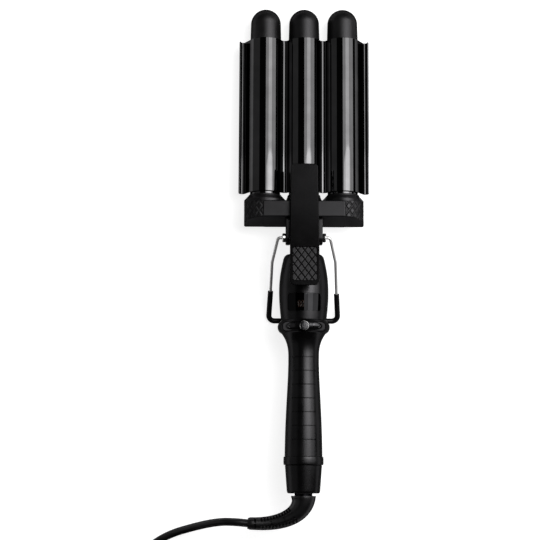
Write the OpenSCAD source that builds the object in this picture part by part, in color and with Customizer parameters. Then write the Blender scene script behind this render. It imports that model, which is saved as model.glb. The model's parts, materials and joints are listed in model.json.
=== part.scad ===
/* [Barrels] */
// Outside diameter of each barrel tube
barrel_d = 25; // [22:0.5:28]
// Wall of the barrel tubes
barrel_wall = 0.9; // [0.7:0.1:1.5]
// Gap between neighbouring barrels
barrel_gap = 7; // [6:0.5:9]
// Height of the barrel tubes' open ends above the hinge
barrel_end = 166.2; // [150:1:190]
// Length of a tip beyond its tube
tip_len = 27.6; // [24:0.5:34]
// How much a tip's base stands proud of its tube
tip_step = 0.4; // [0.2:0.1:0.8]

/* [Clamp plate] */
// Thickness of the corrugated plate
plate_t = 1.2; // [0.8:0.1:1.6]
// Gap between the closed plate and the barrels
hair_gap = 0.8; // [0.6:0.1:1.6]
// Mid-line radius of the valleys between barrels
valley_r = 3.5; // [3:0.25:5]
// Length of the flat wing beside each outer barrel
wing_len = 9.8; // [6:0.2:12]
// Mid-line radius of the trough at the foot of a wing
trough_r = 2.2; // [1.5:0.1:3]
// Length of the turned-up lip
lip_len = 2.2; // [1:0.2:4]

/* [Head] */
// Material outside the outer barrels
head_rim = 4.9; // [4:0.1:8]
// Material in front of and behind the barrels
head_cheek = 4.5; // [3:0.1:7]
// Height of the head's lowest edge above the hinge datum
head_low = 9; // [8:0.5:12]
// Height of the head block
head_h = 22.4; // [20:0.2:28]
// Height of the upright front face
face_h = 13.2; // [10:0.2:16]
// Wall of the head covers
head_wall = 2; // [1.6:0.1:2.4]
// Height of the collars round the barrels
collar_h = 3.9; // [2:0.1:5]

/* [Neck and hinge] */
// Outside diameter of the neck tube
neck_d = 18; // [16:0.5:20]
// Height of the hinge pin in front of the handle's axis
hinge_rise = 13; // [12.5:0.1:15]
// Hinge pin diameter
pin_d = 3; // [2.5:0.1:3.5]
// Width across the hinge ears
ear_w = 29.9; // [29:0.1:34]
// Thickness of a hinge ear
ear_t = 3; // [2.5:0.1:3.2]

/* [Lever] */
// Width of the lever at its upper end
lever_w = 22.2; // [21:0.1:22.8]
// Width of the lever at the thumb pad
lever_pad_w = 23.6; // [22.8:0.1:27]
// Upper end of the lever above the hinge datum
lever_top = 58.6; // [52:0.2:70]
// Length of the lever below the thumb pad
lever_chin = 2.4; // [1.6:0.1:4]
// Rise of the lever's outer face at its lower end
lever_rise = 40; // [39:0.2:44]
// Thickness of the lever's moulding
lever_t = 2.6; // [2:0.1:3.2]
// Thickness of the steel bracket below it
bracket_t = 1.4; // [1:0.1:1.6]
// Width of the thumb pad insert
pad_w = 19.8; // [16:0.2:21]
// Length of the thumb pad insert
pad_len = 29.6; // [20:0.2:30]

/* [Handle] */
// Largest diameter of the control housing
bulb_d = 41.8; // [40:0.2:48]
// Diameter of the button ring
ring_d = 42.7; // [41:0.2:50]
// Diameter of the waist
waist_d = 24.9; // [23:0.1:27]
// Diameter at the foot of the grip
grip_d = 30.4; // [28:0.2:34]
// Diameter of the trim band
band_d = 32.3; // [32:0.1:37]
// Wall of the handle shells
shell_wall = 2; // [1.6:0.1:2.4]
// Width of the display window
window_w = 26.4; // [22:0.2:28]
// Height of the display window
window_h = 14.4; // [12:0.2:16]
// Button travel
button_travel = 0.5; // [0.3:0.05:0.7]
// Diameter of the round button
power_d = 8.6; // [7.6:0.1:9]
// Diameter of the end cap at its lower edge
cap_low_d = 26.4; // [25:0.1:30]

/* [Stand] */
// Diameter of the stand's steel wire
wire_d = 2.5; // [2:0.1:3]
// Diameter of the stand's rubber sleeve
sleeve_d = 4.4; // [4:0.1:6]
// Half width of the stand at its foot
stand_half = 28.4; // [27:0.2:34]

/* [Cord] */
// Diameter of the mains cord
cord_d = 6.3; // [6:0.1:7]
// Diameter of the elbow where it meets the handle
elbow_d = 19.8; // [18:0.2:22]
// Mean radius of the coil's outer turn
coil_r_out = 47; // [46:0.5:50]
// Mean radius of the coil's inner turn
coil_r_in = 27; // [26:0.5:30]

/* [Hidden] */
$fn = 48;

// Clearances
run_gap = 0.05;   // radial, between parts that turn in each other
seat_gap = 0.05;  // between parts that are fixed in each other
air = 0.3;        // between moving parts that must not touch

// Derived sizes: "s" runs along the handle towards the tips, "rise" towards the lever
barrel_r = barrel_d / 2;
barrel_pitch = barrel_d + barrel_gap;
barrel_xs =[-barrel_pitch, 0, barrel_pitch];
bore_r = barrel_r - barrel_wall;
tip_r = barrel_r;
tip_centre = barrel_end + tip_len - tip_r;
head_top = head_low + head_h;
head_half = barrel_pitch + barrel_r + head_rim;
head_deep = barrel_r + head_cheek;
face_low = head_low + (head_h - face_h) * 0.67;
face_top = face_low + face_h;
head_corner = head_deep - 1.5;
neck_r = neck_d / 2;
hinge_s = -2;
pin_r = pin_d / 2;
ear_out = ear_w / 2;
ear_in = ear_out - ear_t;
ear_r = 5.5;
saddle_low = hinge_s - ear_r - 1;
saddle_back = neck_r + 1;

// The chassis, the heaters and the fasteners inside the head
flange_t = 2;
chassis_t = 3;
chassis_s = face_low + flange_t;
chassis_top = chassis_s + chassis_t;
chassis_half_t = barrel_r - 2;
spigot_h = 6;
spigot_r = bore_r - seat_gap;
heater_start = chassis_top + spigot_h + 2;
wire_hole_r = 6;
screw_r = 1.4;
screw_head_r = 2.6;
screw_head_t = 1.3;
boss_r = min(3, barrel_pitch / 2 - barrel_r - 0.4);
head_screw_s = chassis_top + 4.2;

// Clamp plate
plate_in = barrel_r + hair_gap;
plate_out = plate_in + plate_t;
plate_mid = (plate_in + plate_out) / 2;
plate_low = head_top + collar_h + 1.7;
wing_angle = 30;
lip_angle = 80;
valley_rise = sqrt(pow(plate_mid + valley_r, 2) - pow(barrel_pitch / 2, 2));
valley_angle = atan2(valley_rise, barrel_pitch / 2);

// Lever
pad_top_s = -11;
pad_lead = 1;     // from the pad face's upper edge to the insert
lever_low = pad_lead + pad_len + lever_chin - pad_top_s;
pad_top_rise = lever_rise - 9.2;
pad_slope = atan2(lever_rise - pad_top_rise, lever_low + pad_top_s);
lever_tip_rise = plate_out + 4.8;
pad_inset_t = 1.2;

// Handle outline
bulb_top = -14.1;
bulb_r = bulb_d / 2;
ring_r = ring_d / 2;
waist_r = waist_d / 2;
grip_r = grip_d / 2;
band_r = band_d / 2;
ring_top_s = -68.3;
ring_low_s = -78.8;
waist_s = -97;
grip_low_s = -177.6;
band_h = 6.8;
cap_top_s = grip_low_s - band_h;
cap_low_s = -206.9;
cap_low_r = cap_low_d / 2;
groove_first = -98.3;
groove_step = 11;
groove_count = 7;
groove_half = 9.4;
window_s = -54.7;
window_sink = 0.4;
window_t = 1.4;
button_s = -74.1;
bezel_half_w = 17.5;
bezel_h = 8.2;
bezel_sink = 0.5;
board_rise = 6.4;
board_t = 1.6;
board_top = board_rise + board_t;
board_low_s = ring_low_s - 2.2;
board_high_s = bulb_top - 9.9;
switch_h = 3;
wire_outer_r = 1.2;
heater_wire_rise = 4.5;
feed_wire_rise = board_rise - wire_outer_r - 0.1;
feed_wire_x = 5;
power_r = power_d / 2;

// Stand, in the plane that turns about the hinge pin
wire_r = wire_d / 2;
sleeve_r = sleeve_d / 2;
stand_shoulder = ear_out + 2.9 + 4;
bulb_back = bulb_r - 2.4;
stand_foot_s = -66;
stand_foot_rise = -(bulb_back + sleeve_r + air);
stand_foot_drop = hinge_rise - stand_foot_rise;
stand_foot_run = hinge_s - stand_foot_s;
stand_len = sqrt(pow(stand_foot_drop, 2) + pow(stand_foot_run, 2));
stand_angle = atan2(stand_foot_drop, stand_foot_run);

// How the object lies: it rests on the stand's sleeve and on the barrel tips
lie_run = tip_centre - stand_foot_s;
lie_drop = -stand_foot_rise;
lie = atan2(lie_drop, lie_run) + asin((sleeve_r - tip_r) / sqrt(pow(lie_run, 2) + pow(lie_drop, 2)));
lie_height = tip_centre * sin(lie) + tip_r;

// Swivel and elbow
core_r = 7.2;
core_flange_r = 9;
elbow_r = elbow_d / 2;
elbow_top_s = cap_low_s - 2;
elbow_end_r = 4.9;
elbow_lead = 1.2;
elbow_path = [[0, 0], [0, -11.7], [-14, -22.695], [-44.5, -20.5]];
elbow_steps = 16;

// The object's length along the table, which centres it over the origin
elbow_low = min([for (i = [0:elbow_steps]) let (p = bez(elbow_path, i / elbow_steps))
  elbow_top_s - elbow_lead + p[1] - elbow_radius(i / elbow_steps)]);
lie_front = tip_centre * cos(lie) + tip_r;
lie_back = elbow_low * cos(lie);
lie_shift = -(lie_front + lie_back) / 2;

// Cord, in the table's own frame: x, y, height of its centre line
cord_r = cord_d / 2;
cord_route = [
  [-45.4, -209, 30.3], [-54, -208.5, 29.6], [-64, -208.5, 27], [-74, -210, 22.5], [-84, -212.5, 16.5],
  [-94, -215.5, 10.5], [-103, -218.5, 6.2], [-112, -222.5, 3.9], [-121, -228, 3.2], [-130, -235.5, 3.2],
  [-138, -245, 3.2], [-144, -256, 3.2], [-147.5, -267, 3.2], [-149, -279, 3.2]
];
coil_centre = [-102, -279];
coil_h = 2 * cord_d + 0.4;
tail_route = [
  [-102, -326, 9.6], [-93, -326, 9], [-84, -325.5, 7], [-75, -324.5, 4.6], [-66, -323, 3.4],
  [-57, -321, 3.2], [-48, -319, 3.3], [-39, -317.5, 4.3], [-30, -316.3, 6], [-22, -316, 7], [-14, -316, 7]
];
cord_sides = 10;
plug_start = tail_route[len(tail_route) - 1];
plug_len = 36;
plug_half_w = 13;
plug_h = 2 * plug_start[2];
plug_neck_len = 10;
plug_pin_r = 2;
plug_pin_len = 19;
plug_pin_gap = 18.6;
tie_w = 12;
tie_t = 1;

// ---------------------------------------------------------------- helpers
function bez(p, t) = pow(1 - t, 3) * p[0] + 3 * pow(1 - t, 2) * t * p[1]
  + 3 * (1 - t) * t * t * p[2] + t * t * t * p[3];
function bez_points(p, n) = [for (i = [0:n]) bez(p, i / n)];
function arc_points(cx, cy, r, a0, a1, n) =
  [for (i = [0:n]) let (a = a0 + (a1 - a0) * i / n) [cx + r * cos(a), cy + r * sin(a)]];
function elbow_radius(t) = elbow_end_r + (elbow_r - elbow_end_r) * pow(1 - t, 1.35);
function unit(v) = v / norm(v);
function tangent(p, i) = unit(p[min(i + 1, len(p) - 1)] - p[max(i - 1, 0)]);
function reversed(p) = [for (i = [len(p) - 1:-1:0]) p[i]];

// An outline in (x, rise) runs along the handle from s0 to s1
module along(s0, s1) {
  translate([0, s1, 0]) rotate([90, 0, 0]) linear_extrude(s1 - s0) children();
}
// An outline in (s, rise) runs across the handle from x0 to x1
module across(x0, x1) {
  translate([x0, 0, 0]) rotate([90, 0, 90]) linear_extrude(x1 - x0) children();
}
// An outline in (x, s) runs up from one rise to another
module upward(z0, z1) {
  translate([0, 0, z0]) linear_extrude(z1 - z0) children();
}
// An outline in (radius, s) is turned about the handle's axis
module turned() {
  rotate([-90, 0, 0]) rotate_extrude() children();
}
// A round rod along the handle
module rod(x, rise, r, s0, s1) {
  translate([x, s0, rise]) rotate([-90, 0, 0]) cylinder(h = s1 - s0, r = r);
}
// A round rod across the handle
module cross_rod(s, rise, r, x0, x1) {
  translate([x0, s, rise]) rotate([0, 90, 0]) cylinder(h = x1 - x0, r = r);
}
// A round rod towards the lever
module up_rod(x, s, r, z0, z1) {
  translate([x, s, z0]) cylinder(h = z1 - z0, r = r);
}
module box(lo, hi) {
  translate(lo) cube(hi - lo);
}
// A rectangle with round corners, centred
module round_rect(w, h, r) {
  square([w - 2 * r, h], center = true);
  square([w, h - 2 * r], center = true);
  for (x = [-1, 1], y = [-1, 1]) translate([x * (w / 2 - r), y * (h / 2 - r)]) circle(r);
}
// A tube swept along points, with its own radius at each
module swept(points, radii, sides) {
  n = len(points);
  ring = [for (i = [0:n - 1]) let (
      t = tangent(points, i),
      side = unit(cross(t, abs(t[2]) > 0.9 ? [1, 0, 0] : [0, 0, 1])),
      up = cross(side, t))
    for (k = [0:sides - 1]) let (a = 360 * k / sides)
      points[i] + radii[i] * (cos(a) * side + sin(a) * up)];
  walls = [for (i = [0:n - 2], k = [0:sides - 1], half = [0, 1])
    let (k2 = (k + 1) % sides, a = i * sides, b = a + sides)
    half == 0 ? [a + k, a + k2, b + k2] : [a + k, b + k2, b + k]];
  first = [for (k = [sides - 1:-1:0]) k];
  last = [for (k = [0:sides - 1]) (n - 1) * sides + k];
  polyhedron(ring, concat(walls, [first, last]), convexity = 4);
}
// Places a piece of the object as it lies on the table
module lay() {
  translate([0, lie_shift, lie_height]) rotate([-lie, 0, 0]) children();
}

// ---------------------------------------------------------------- barrels
module barrel_tube(x) {
  color("#141416") difference() {
    rod(x, 0, barrel_r, chassis_top, barrel_end);
    rod(x, 0, bore_r, chassis_top - 1, barrel_end + 1);
  }
}
module barrel_tip(x) {
  dome = arc_points(0, tip_centre, tip_r, 0, 90, 14);
  plug = 8;
  color("#1c1c1e") translate([x, 0, 0]) turned()
    polygon(concat([[0, barrel_end - plug], [spigot_r, barrel_end - plug], [spigot_r, barrel_end],
      [tip_r + tip_step, barrel_end]], dome));
}
module barrel_collar(x) {
  foot_r = min(barrel_pitch / 2 - 1.2, barrel_r + head_cheek - 1.5);
  color("#1c1c1e") difference() {
    translate([x, 0, 0]) turned()
      polygon([[barrel_r + seat_gap, face_top - 1], [foot_r, face_top - 1], [foot_r, head_top - 0.3],
        [barrel_r + 0.8, head_top + collar_h], [barrel_r + seat_gap, head_top + collar_h]]);
    head_form(0);
    // an outer collar ends at the head's shoulder
    if (x != 0) shoulder_room(sign(x), -seat_gap);
  }
}
shoulder_x = 9;
module shoulder_room(side, inset) {
  lo = barrel_pitch + shoulder_x + inset;
  box([side > 0 ? lo : -head_half - 1, face_top - 2, -head_deep],
    [side > 0 ? head_half + 1 : -lo, head_top + collar_h + 1, head_deep]);
}
module heater(x) {
  end = barrel_end - 20;
  strip = 3;
  half_w = 5;
  r = bore_r - seat_gap;
  channel_r = (r - strip / 2) / 2 - 1;
  color("silver") for (side = [-1, 1]) difference() {
    intersection() {
      rod(x, 0, r, heater_start, end);
      box([x - r, heater_start, side > 0 ? strip / 2 : -r], [x + r, end, side > 0 ? r : -strip / 2]);
    }
    rod(x, side * (channel_r + strip / 2 + 1), channel_r, heater_start - 1, end + 1);
  }
  color("white")
    box([x - half_w, heater_start + 4, -strip / 2 + seat_gap], [x + half_w, end - 4, strip / 2 - seat_gap]);
}
module thermistor() {
  color("white") cross_rod(heater_start - 1, 0, 1.6, -4, 4);
}
module thermal_fuse() {
  fuse_r = 1.8;
  color("silver") cross_rod(chassis_s - fuse_r, 4, fuse_r, barrel_pitch * 0.5, barrel_pitch * 0.8);
}
module head_chassis() {
  half = barrel_pitch + barrel_r - 1.5;
  color("gray") difference() {
    union() {
      box([-half, chassis_s, -chassis_half_t], [half, chassis_top, chassis_half_t]);
      for (x = barrel_xs) rod(x, 0, spigot_r, chassis_s, chassis_top + spigot_h);
    }
    for (x = barrel_xs) rod(x, 0, wire_hole_r, chassis_s - 1, chassis_top + spigot_h + 1);
  }
}

// ---------------------------------------------------------------- head covers
// The block's outline, drawn in by inset on every side
module head_form(inset) {
  drop = inset * 1.06;
  intersection() {
    along(head_low + inset, head_top - inset)
      round_rect(2 * (head_half - inset), 2 * (head_deep - inset), head_corner - inset);
    across(-head_half, head_half)
      polygon([[head_low + drop, 0], [face_low + inset * 0.6, head_deep - inset],
        [face_top - inset * 0.8, head_deep - inset], [head_top - inset, 0],
        [face_top - inset * 0.8, -head_deep + inset], [face_low + inset * 0.6, -head_deep + inset]]);
  }
}
// Cones that carry the collars' slope out to the block's ends
module head_shoulders() {
  foot_r = barrel_r + head_rim - 0.1;
  top = head_top + collar_h - 0.2;
  for (side = [-1, 1]) intersection() {
    translate([side * barrel_pitch, 0, 0]) rotate([0, 45, 0]) turned()
      polygon([[0, face_top], [foot_r, face_top], [foot_r, head_top - 0.4], [barrel_r + 0.9, top], [0, top]]);
    shoulder_room(side, 0);
  }
}
module head_cover(side) {
  color("#1b1b1d") intersection() {
    difference() {
      union() {
        difference() {
          head_form(0);
          head_form(head_wall);
        }
        head_shoulders();
        intersection() {
          for (x = [-0.5, 0.5]) up_rod(x * barrel_pitch, head_screw_s, boss_r, -head_deep, head_deep);
          head_form(head_wall / 2);
        }
      }
      for (x = barrel_xs) rod(x, 0, barrel_r + seat_gap, head_low + 5, head_top + collar_h + 1);
      rod(0, 0, neck_r + seat_gap, head_low - 1, chassis_s);
      for (x = [-0.5, 0.5]) {
        up_rod(x * barrel_pitch, head_screw_s, screw_r + seat_gap, -head_deep - 1, head_deep - 4);
        up_rod(x * barrel_pitch, head_screw_s, screw_head_r + seat_gap, -head_deep - 1, head_screw_seat);
      }
    }
    box([-head_half - 1, head_low - 1, side > 0 ? 0 : -head_deep - 1],
      [head_half + 1, head_top + collar_h + 1, side > 0 ? head_deep + 1 : 0]);
  }
}
head_screw_seat = -head_deep + 1.5;
module screw(x, s, seat, tip) {
  up_rod(x, s, screw_head_r, seat - screw_head_t, seat);
  up_rod(x, s, screw_r, seat, tip);
}
module head_screws() {
  color("dimgray") for (x = [-0.5, 0.5]) screw(x * barrel_pitch, head_screw_s, head_screw_seat, head_deep - 5);
}

// ---------------------------------------------------------------- neck and hinge
module neck_tube() {
  inner = neck_r - 2;
  color("dimgray") difference() {
    union() {
      rod(0, 0, neck_r, bulb_top - 8, chassis_s);
      rod(0, 0, neck_r + 3, chassis_s - flange_t, chassis_s);
      rod(0, 0, neck_r + 3, bulb_top - shell_wall - 2, bulb_top - shell_wall);
    }
    rod(0, 0, inner, bulb_top - 9, chassis_s + 1);
  }
}
module pivot_saddle() {
  color("#1b1b1d") difference() {
    across(-ear_out, ear_out) {
      translate([saddle_low, -saddle_back]) square([face_low - saddle_low, saddle_back + hinge_rise]);
      translate([hinge_s, 0]) square([head_low + 4 - hinge_s, hinge_rise + ear_r]);
      translate([hinge_s, hinge_rise]) circle(ear_r);
    }
    head_form(0);
    rod(0, 0, neck_r + seat_gap, saddle_low - 1, chassis_s);
    box([-ear_in, saddle_low - 1, neck_r - 3], [ear_in, face_top, head_deep + 5]);
    cross_rod(hinge_s, hinge_rise, pin_r + seat_gap, -ear_in - 1.2, ear_in + 1.2);
    for (side = [-1, 1])
      cross_rod(hinge_s, hinge_rise, 2.2 + seat_gap, side > 0 ? ear_out - 1.6 : -ear_out - 1,
        side > 0 ? ear_out + 1 : -ear_out + 1.6);
  }
}
module hinge_pin() {
  color("silver") cross_rod(hinge_s, hinge_rise, pin_r, -ear_in - 1, ear_in + 1);
}
module pivot_bushes() {
  color("gainsboro") for (side = [-1, 1]) difference() {
    union() {
      cross_rod(hinge_s, hinge_rise, 2.2, side > 0 ? ear_out - 1.5 : -ear_out, side > 0 ? ear_out : -ear_out + 1.5);
      cross_rod(hinge_s, hinge_rise, 3.65, side > 0 ? ear_out : -ear_out - 2.9, side > 0 ? ear_out + 2.9 : -ear_out);
    }
    cross_rod(hinge_s, hinge_rise, wire_r + run_gap, side > 0 ? ear_out - 1 : -ear_out - 3.5,
      side > 0 ? ear_out + 3.5 : -ear_out + 1);
  }
}

// ---------------------------------------------------------------- clamp
// Half of the corrugated section, from the middle crest outwards, offset from its mid-line
function plate_half(off) = let (
    r = plate_mid + off,
    v = valley_r - off,
    wing = [barrel_pitch + r * cos(wing_angle), r * sin(wing_angle)],
    foot = [barrel_pitch + plate_mid * cos(wing_angle) + wing_len * sin(wing_angle)
      + trough_r * cos(wing_angle),
      plate_mid * sin(wing_angle) - wing_len * cos(wing_angle) + trough_r * sin(wing_angle)],
    t = trough_r - off,
    a_end = lip_angle - 90)
  concat(
    arc_points(0, 0, r, 90, valley_angle, 9),
    arc_points(barrel_pitch / 2, valley_rise, v, valley_angle + 180, 360 - valley_angle, 8),
    arc_points(barrel_pitch, 0, r, 180 - valley_angle, wing_angle, 18),
    arc_points(foot[0], foot[1], t, 180 + wing_angle, 360 + a_end, 6),
    [[foot[0] + t * cos(a_end) + lip_len * cos(lip_angle), foot[1] + t * sin(a_end) + lip_len * sin(lip_angle)]]);
function mirror_x(p) = [for (q = p) [-q[0], q[1]]];
module plate_section() {
  top = plate_half(plate_t / 2);
  under = plate_half(-plate_t / 2);
  polygon(concat(reversed(mirror_x(top)), top, reversed(under), mirror_x(under)));
}
rivet_r = 1.5;
rivet_ss = [lever_top - 6, lever_top - 15];
module clamp_plate() {
  color("#101012") difference() {
    along(plate_low, barrel_end) plate_section();
    for (s = rivet_ss) up_rod(0, s, rivet_r + seat_gap, barrel_r, plate_out + 1);
  }
}
// The lever's outer face, in (s, rise), from its upper end to its lower end
lever_line = concat(
  bez_points([[lever_top, lever_tip_rise], [34, lever_tip_rise + 0.5], [14, pad_top_rise - 7],
    [pad_top_s, pad_top_rise]], 12),
  [[-lever_low, lever_rise]]);
function shifted(p, drop) = [for (q = p) [q[0], q[1] - drop]];
function face_rise(s) = lookup(s, reversed(lever_line));
module lever_outline() {
  w0 = lever_w / 2;
  w1 = lever_pad_w / 2;
  polygon([[-w0 + 2, lever_top], [w0 - 2, lever_top], [w0, lever_top - 2.5], [w1, pad_top_s],
    [w1, -lever_low + 4], [w1 - 1.2, -lever_low + 1.2], [w1 - 4, -lever_low], [-w1 + 4, -lever_low],
    [-w1 + 1.2, -lever_low + 1.2], [-w1, -lever_low + 4], [-w1, pad_top_s], [-w0, lever_top - 2.5]]);
}
module pad_frame() {
  translate([0, pad_top_s, pad_top_rise]) rotate([-pad_slope, 0, 0]) children();
}
module clamp_lever() {
  color("#1d1d1f") difference() {
    intersection() {
      across(-lever_pad_w, lever_pad_w)
        polygon(concat(lever_line, reversed(shifted(lever_line, lever_t))));
      upward(0, lever_rise + 5) lever_outline();
    }
    pad_frame() translate([0, -pad_len / 2 - pad_lead, -pad_inset_t]) linear_extrude(5)
      round_rect(pad_w + 2 * seat_gap, pad_len + 2 * seat_gap, 2.5);
  }
}
module thumb_pad() {
  color("#232325") pad_frame() translate([0, -pad_len / 2 - pad_lead, -pad_inset_t])
    linear_extrude(pad_inset_t + 0.3) round_rect(pad_w, pad_len, 2.5);
}
bracket_half = min(ear_in - 1.4, lever_w / 2 - 1);
bracket_low = -28;
arm_t = 1.3;
arm_r = 4;
function bracket_mid(s) = face_rise(s) - lever_t - bracket_t / 2;
module clamp_bracket() {
  top = shifted(lever_line, lever_t);
  color("silver") difference() {
    union() {
      // strip under the lever
      intersection() {
        across(-bracket_half, bracket_half) polygon(concat(top, reversed(shifted(top, bracket_t))));
        box([-bracket_half, bracket_low, 0], [bracket_half, lever_top - 1, lever_rise]);
      }
      // block that seats on the plate's middle crest
      box([-7, plate_low + 1, plate_out - 3], [7, lever_top - 1.5, plate_out + 1.4]);
      // arms down to the hinge pin
      for (side = [-1, 1]) across(side > 0 ? bracket_half - arm_t : -bracket_half,
          side > 0 ? bracket_half : -bracket_half + arm_t) {
        translate([hinge_s, hinge_rise]) circle(arm_r);
        polygon([[hinge_s - arm_r, hinge_rise], [hinge_s - arm_r, bracket_mid(hinge_s - arm_r)],
          [hinge_s, bracket_mid(hinge_s)], [hinge_s + arm_r, bracket_mid(hinge_s + arm_r)],
          [hinge_s + arm_r, hinge_rise]]);
      }
    }
    rod(0, 0, plate_out + 0.02, plate_low - 1, lever_top + 1);
    cross_rod(hinge_s, hinge_rise, pin_r + run_gap, -ear_in, ear_in);
    for (s = rivet_ss) up_rod(0, s, rivet_r + seat_gap, barrel_r, plate_out + 1.2);
  }
}
module clamp_rivets() {
  seat = plate_in - 0.2;
  color("silver") for (s = rivet_ss) {
    up_rod(0, s, rivet_r + 0.7, seat - 0.3, seat);
    up_rod(0, s, rivet_r, seat, plate_out + 1.1);
  }
}
// A torsion spring: one leg pushes the lever's lower half out, the other rests on the neck
module clamp_spring() {
  coil_r = pin_r + 1.1;
  turns = 6;
  pitch = 1.3;
  steps = 12;
  half = turns * pitch / 2;
  wire = 0.5;
  leg_s = hinge_s - 6;
  helix = [for (i = [0:turns * steps]) let (a = 180 + 360 * i / steps)
    [-half + pitch * i / steps, hinge_s + coil_r * cos(a), hinge_rise + coil_r * sin(a)]];
  lever_leg = [-half, leg_s, face_rise(leg_s) - lever_t - bracket_t - wire - 0.1];
  neck_leg = [half, leg_s, sqrt(pow(neck_r, 2) - pow(half - wire, 2)) + wire + 0.1];
  path = concat([lever_leg], helix, [neck_leg]);
  color("silver") swept(path, [for (p = path) wire], 6);
}

// ---------------------------------------------------------------- stand
// The wire's bends as (x, distance from the hinge axis) on one side
stand_leg = [[stand_shoulder - 4.4, 0], [stand_shoulder - 1.6, 0], [stand_shoulder - 0.4, 0.6],
  [stand_shoulder + 0.3, 1.8], [stand_half - 2.5, 21]];
stand_foot = [[stand_half - 1.4, 45], [stand_half, stand_len - 4.5], [stand_half - 0.5, stand_len - 2.2],
  [stand_half - 2, stand_len - 0.8], [stand_half - 4.5, stand_len]];
// A bent rod through the points on one side and their mirror images
module stand_rod(side_points, r, sides) {
  half = [for (q = side_points) [q[0], -q[1], 0]];
  path = concat([for (p = half) [-p[0], p[1], p[2]]], reversed(half));
  translate([0, hinge_s, hinge_rise]) rotate([stand_angle, 0, 0]) swept(path, [for (p = path) r], sides);
}
module stand_wire() {
  color("silver") {
    stand_rod(concat(stand_leg, stand_foot), wire_r, 12);
    for (side = [-1, 1])
      cross_rod(hinge_s, hinge_rise, wire_r, side > 0 ? ear_out - 0.7 : -stand_shoulder + 4,
        side > 0 ? stand_shoulder - 4 : -ear_out + 0.7);
  }
}
module stand_sleeve() {
  above = stand_leg[len(stand_leg) - 1];
  start = above + (stand_foot[0] - above) * 0.92;
  color("#161618") difference() {
    stand_rod(concat([start], stand_foot), sleeve_r, 16);
    stand_rod(concat([above], stand_foot), wire_r + 0.02, 12);
  }
}

// ---------------------------------------------------------------- handle
shoulder = [[neck_r + seat_gap, bulb_top], [bulb_r - 8.2, bulb_top], [bulb_r - 6.1, bulb_top - 0.5],
  [bulb_r - 4.9, bulb_top - 1.7]];
bulb_side = bez_points([[bulb_r - 4.2, bulb_top - 3.4], [bulb_r - 1.2, bulb_top - 16], [bulb_r + 0.9, -42],
  [bulb_r - 2.5, ring_top_s]], 12);
ring_side = [[ring_r - 0.5, ring_top_s - 3], [ring_r, ring_top_s - 5], [ring_r - 0.4, ring_top_s - 7.4],
  [ring_r - 1.6, ring_low_s + 1.2], [ring_r - 3.4, ring_low_s]];
flare_side = bez_points([[ring_r - 3.6, ring_low_s - 0.2], [waist_r + 2.6, ring_low_s - 4],
  [waist_r, ring_low_s - 9], [waist_r, waist_s]], 8);
grip_side = bez_points([[waist_r, waist_s - 2], [waist_r - 0.1, waist_s - 22], [grip_r - 0.3, waist_s - 44],
  [grip_r, grip_low_s]], 10);
shell_side = concat(bulb_side, ring_side, flare_side, grip_side);
spigot_low = cap_top_s - 4;
module handle_solid() {
  turned() polygon(concat(shoulder, shell_side,
    [[grip_r - 1, grip_low_s], [grip_r - 1, spigot_low], [neck_r + seat_gap, spigot_low]]));
}
module handle_cavity() {
  turned() polygon(concat([[0, bulb_top - shell_wall], [bulb_r - 8, bulb_top - shell_wall]],
    [for (p = shell_side) [p[0] - shell_wall, p[1]]],
    [[grip_r - 1 - shell_wall, grip_low_s - 1], [grip_r - 1 - shell_wall, spigot_low - 1], [0, spigot_low - 1]]));
}
// Screw posts: two beside the board, two along the grip
post_places = [[-13.2, -29], [13.2, -29], [0, -122], [0, -166]];
post_screw_seat = -9;
post_screw_tip = 7;
module posts(r, z0, z1) {
  for (p = post_places) up_rod(p[0], p[1], r, z0, z1);
}
module window_cut(grow) {
  upward(0, ring_r + 5) translate([0, window_s]) round_rect(window_w + 2 * grow, window_h + 2 * grow, 2);
}
module bezel_cut(grow) {
  upward(0, ring_r + 5) translate([0, button_s])
    round_rect(2 * bezel_half_w + 2 * grow, bezel_h + 2 * grow, bezel_h / 2 - 0.5);
}
// The shell's outer face, drawn in by an inset, between two heights
module handle_skin(inset, s0, s1) {
  turned() polygon(concat([[0, s1]],
    [for (p = shell_side) if (p[1] > s0 && p[1] < s1) [p[0] - inset, p[1]]], [[0, s0]]));
}
side_button_x = 12;
side_button_half = 4.9;
side_stem_x = 11;
module side_button_outline(side, grow) {
  translate([side * side_button_x, button_s])
    round_rect(2 * side_button_half + 2 * grow, bezel_h - 1.6 + 2 * grow, 2.4);
}
module handle_wall() {
  difference() {
    handle_solid();
    handle_cavity();
  }
  // screw posts run to the outer skin
  intersection() {
    posts(2.8, -bulb_r, bulb_r);
    handle_solid();
  }
}
module front_cuts() {
  window_cut(0);
  bezel_recess();
  up_rod(0, button_s, power_r + run_gap, 0, ring_r + 1);
  for (side = [-1, 1]) upward(0, ring_r + 1) side_button_outline(side, run_gap);
  for (i = [0:groove_count - 1]) groove(groove_first - i * groove_step);
}
module handle_shell(side) {
  color("#1c1c1e") difference() {
    intersection() {
      handle_wall();
      box([-ring_r - 1, spigot_low - 1, side > 0 ? 0 : -ring_r - 1],
        [ring_r + 1, bulb_top + 1, side > 0 ? ring_r + 1 : 0]);
    }
    rod(0, 0, neck_r + seat_gap, bulb_top - shell_wall - 1, bulb_top + 1);
    posts(screw_r + seat_gap, -bulb_r, post_screw_tip + 1);
    if (side > 0) front_cuts();
    else posts(screw_head_r + seat_gap, -bulb_r - 1, post_screw_seat);
  }
}
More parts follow.
